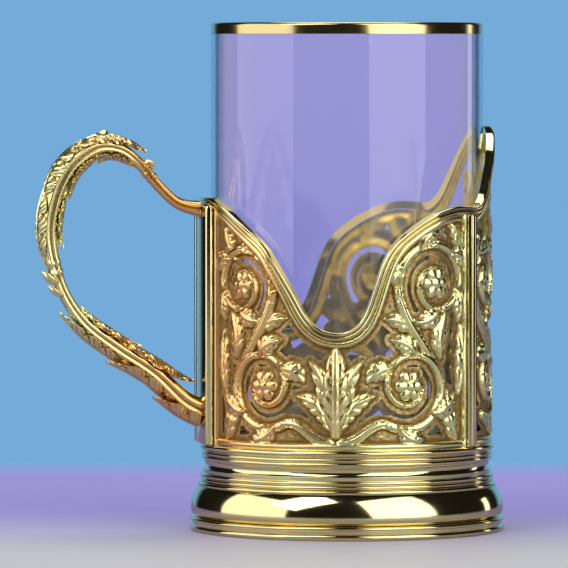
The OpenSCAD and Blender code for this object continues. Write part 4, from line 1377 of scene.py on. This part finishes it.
# The world: between which headings towards the camera the room begins, between which slopes it is light from
# below, and its lights
ROOM_START = (-.93, -.82)
BELOW = (-.15, -.30)
PLAIN_LIGHT = (.56, .56, .58, 1)
DIM_ROOM = (.008, .007, .006, 1)
WARM_ROOM = (.95, .93, .58, 1)


class TEAGLASS_OT_stage(TeaGlassOperator, bpy.types.Operator):
    """Sets the floor, the backdrop, the lamps, the camera and the colour management"""

    bl_idname = "teaglass.stage"
    bl_label = "Stage"

    azimuth: bpy.props.FloatProperty(
        name="Azimuth", description="Angle of the camera round Z, from -Y", default=math.radians(-12),
        subtype="ANGLE"
    )
    height: length("Camera height", 122, "Height of the camera over the floor")
    distance: length("Camera distance", 1470, "Distance of the camera from its aim, along the floor")
    aim_z: length("Aim height", 60, "Height of the place that the camera looks at")
    aim_left: length("Aim offset", 15.4, "How far left of the axis that place is")
    lens: bpy.props.FloatProperty(
        name="Lens", description="Focal length in millimetres on a 36 mm frame", default=381, min=1
    )
    floor_end: length("Floor end", 230, "How far behind the axis the floor ends, seen from the camera")

    def execute(self, context):
        azimuth = math.degrees(self.azimuth)
        self.right = np.array([*compass(azimuth), 0])
        self.to_camera = np.array([*compass(azimuth - 90), 0])
        colours = context.scene.tea_glass_colours
        self.add_floor(context, colours)
        self.add_world(context, colours)
        for row in LAMPS:
            self.add_lamp(context, *row)
        self.add_camera(context)
        context.scene.view_settings.view_transform = "Standard"
        return {"FINISHED"}

    def place(self, across, near, up):
        """A place given across to the right, towards the camera and up."""
        return Vector(across * self.right + near * self.to_camera + np.array([0, 0, up]))

    def aimed(self, made, spot, target, roll=0):
        """Sets an object at a place, looking at another, turned to the left by roll degrees."""
        turn = (target - spot).to_track_quat("-Z", "Y") @ Quaternion((0, 0, 1), math.radians(roll))
        made.location = spot
        made.rotation_euler = turn.to_euler()
        bpy.context.scene.collection.objects.link(made)
        return made

    def add_floor(self, context, colours):
        """A plane with a faint mottle, which turns from one plain colour to the other towards the backdrop
        and fades out at its far end. It is clear from below and inside the foot's ring, so that the foot can
        be seen from below."""
        half, near, far = .7, 1.1, -self.floor_end
        spots = [self.place(x, y, 0) for x, y in ((-half, near), (half, near), (half, far), (-half, far))]
        mesh = bpy.data.meshes.new("floor")
        mesh.from_pydata(spots, [], [(0, 1, 2, 3)])
        finish = Finish("floor")
        depth = finish.along(finish.coords, self.to_camera)
        nearer = finish.ramp(depth, *TONE_CHANGE, kind="SMOOTHSTEP")
        tone = finish.mixed(nearer, colours.table_far, colours.table)
        mottle = finish.ranged(finish.noise(40, 3), 0, .05)
        finish.set("Base Color", finish.mixed(mottle, tone, (.5, .5, .55, 1)))
        finish.set("Roughness", finish.ranged(finish.noise(120, 3), .50, .60))
        finish.set("Specular IOR Level", .25)
        clear = finish.add("BsdfTransparent")[0]
        fade = finish.ramp(depth, far, far + FLOOR_FADE)
        shown = finish.mixed_shader(fade, clear, finish.shader.outputs[0])
        under = finish.add("NewGeometry")["Backfacing"]
        away = finish.add("VectorMath", {0: finish.coords}, operation="LENGTH")["Value"]
        hole = finish.math("LESS_THAN", away, FOOT_R - 2 * MM)
        whole = finish.mixed_shader(finish.math("MAXIMUM", under, hole), shown, clear)
        finish.put(finish.nodes["Material Output"].inputs["Surface"], whole)
        mesh.materials.append(finish.material)
        floor = bpy.data.objects.new("floor", mesh)
        context.scene.collection.objects.link(floor)
        floor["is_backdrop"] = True

    def add_world(self, context, colours):
        """The backdrop, as each kind of ray sees it. The light that the world gives is plain grey.

        The camera sees the backdrop, and rays straight through the glass see its colour through glass.
        Mirrored rays see the backdrop where they go on behind the object, a dim room on the camera's side
        and plain light from below. Those that have crossed glass four times, as they do on the way from the
        holder's inside, find a warm room there.
        """
        world = bpy.data.worlds.new("studio")
        context.scene.world = world
        world.use_nodes = True
        sky = Nodes(world.node_tree)
        path = sky.add("LightPath")
        straight = sky.math("LESS_THAN", path["Glossy Depth"], .5)
        crossing = sky.math("MULTIPLY", path["Is Transmission Ray"], straight)
        mirrored = sky.math("GREATER_THAN", path["Glossy Depth"], .5)
        deep = sky.math("GREATER_THAN", path["Transmission Depth"], 3.5)
        inside = sky.math("MULTIPLY", path["Is Transmission Ray"], deep)
        heading = sky.add("TexCoord")["Generated"]
        towards = sky.along(heading, self.to_camera)
        on_camera_side = sky.ramp(towards, *ROOM_START, kind="SMOOTHSTEP")
        low = sky.ramp(sky.add("SeparateXYZ", {0: heading})["Z"], *BELOW)
        backdrop, through, light, dim, warm = (
            sky.add("Background", {"Color": rgba})[0]
            for rgba in (colours.backdrop, colours.through, PLAIN_LIGHT, DIM_ROOM, WARM_ROOM)
        )
        room = sky.mixed_shader(low, sky.mixed_shader(inside, dim, warm), light)
        shown = sky.mixed_shader(mirrored, light, sky.mixed_shader(on_camera_side, backdrop, room))
        behind = sky.mixed_shader(crossing, shown, through)
        seen = sky.mixed_shader(path["Is Camera Ray"], behind, backdrop)
        sky.put(sky.nodes["World Output"].inputs["Surface"], seen)

    def add_lamp(self, context, azimuth, distance, middle, target, width, height, roll, power):
        """A softbox that the camera doesn't see. Only one that hangs high is seen through the glass."""
        lamp = bpy.data.lights.new("softbox", "AREA")
        lamp.shape = "RECTANGLE"
        lamp.size, lamp.size_y, lamp.energy = width, height, power
        across, near = compass(90 - azimuth) * distance
        made = bpy.data.objects.new("softbox", lamp)
        made.visible_camera = False
        made.visible_transmission = middle > 1
        self.aimed(made, self.place(across, near, middle), Vector((0, 0, target)), roll)

    def add_camera(self, context):
        """The camera, at the height of the glass's lip, looking down a little at a place left of the axis."""
        camera = bpy.data.cameras.new("camera")
        camera.lens, camera.sensor_width = self.lens, 36
        camera.clip_end = 20
        spot = self.place(-self.aim_left, self.distance, self.height)
        made = bpy.data.objects.new("camera", camera)
        context.scene.camera = self.aimed(made, spot, self.place(-self.aim_left, 0, self.aim_z))


OPERATORS = (
    TEAGLASS_OT_base, TEAGLASS_OT_clamp, TEAGLASS_OT_panels, TEAGLASS_OT_trim, TEAGLASS_OT_handle,
    TEAGLASS_OT_glass, TEAGLASS_OT_stage
)


class TEAGLASS_PT_sidebar(bpy.types.Panel):
    """Lists the steps of the tea glass holder, with its sizes and colours"""

    bl_idname = "TEAGLASS_PT_sidebar"
    bl_label = "Tea Glass Holder"
    bl_space_type = "VIEW_3D"
    bl_region_type = "UI"
    bl_category = "Tea Glass"

    def draw(self, context):
        for operator in OPERATORS:
            self.layout.operator(operator.bl_idname)
        for group in (context.scene.tea_glass_sizes, context.scene.tea_glass_colours):
            box = self.layout.box()
            for name in group.bl_rna.properties.keys():
                if name not in ("rna_type", "name"):
                    box.prop(group, name)


CLASSES = (TeaGlassSizes, TeaGlassColours, *OPERATORS, TEAGLASS_PT_sidebar)


def register():
    """Registers the classes, and hangs the sizes and colours on the scene."""
    for kind in CLASSES:
        bpy.utils.register_class(kind)
    bpy.types.Scene.tea_glass_sizes = bpy.props.PointerProperty(type=TeaGlassSizes)
    bpy.types.Scene.tea_glass_colours = bpy.props.PointerProperty(type=TeaGlassColours)


def unregister():
    """Takes away what register adds."""
    del bpy.types.Scene.tea_glass_sizes
    del bpy.types.Scene.tea_glass_colours
    for kind in reversed(CLASSES):
        bpy.utils.unregister_class(kind)


def corners():
    """The whole object's lowest and highest corners as plain lists."""
    return [list(corner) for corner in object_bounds()]


def main():
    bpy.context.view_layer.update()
    register()
    ops = bpy.ops.teaglass
    for step in (ops.stage, ops.base, ops.clamp, ops.panels, ops.trim, ops.handle, ops.glass):
        step()


if __name__ == "__main__":
    main()
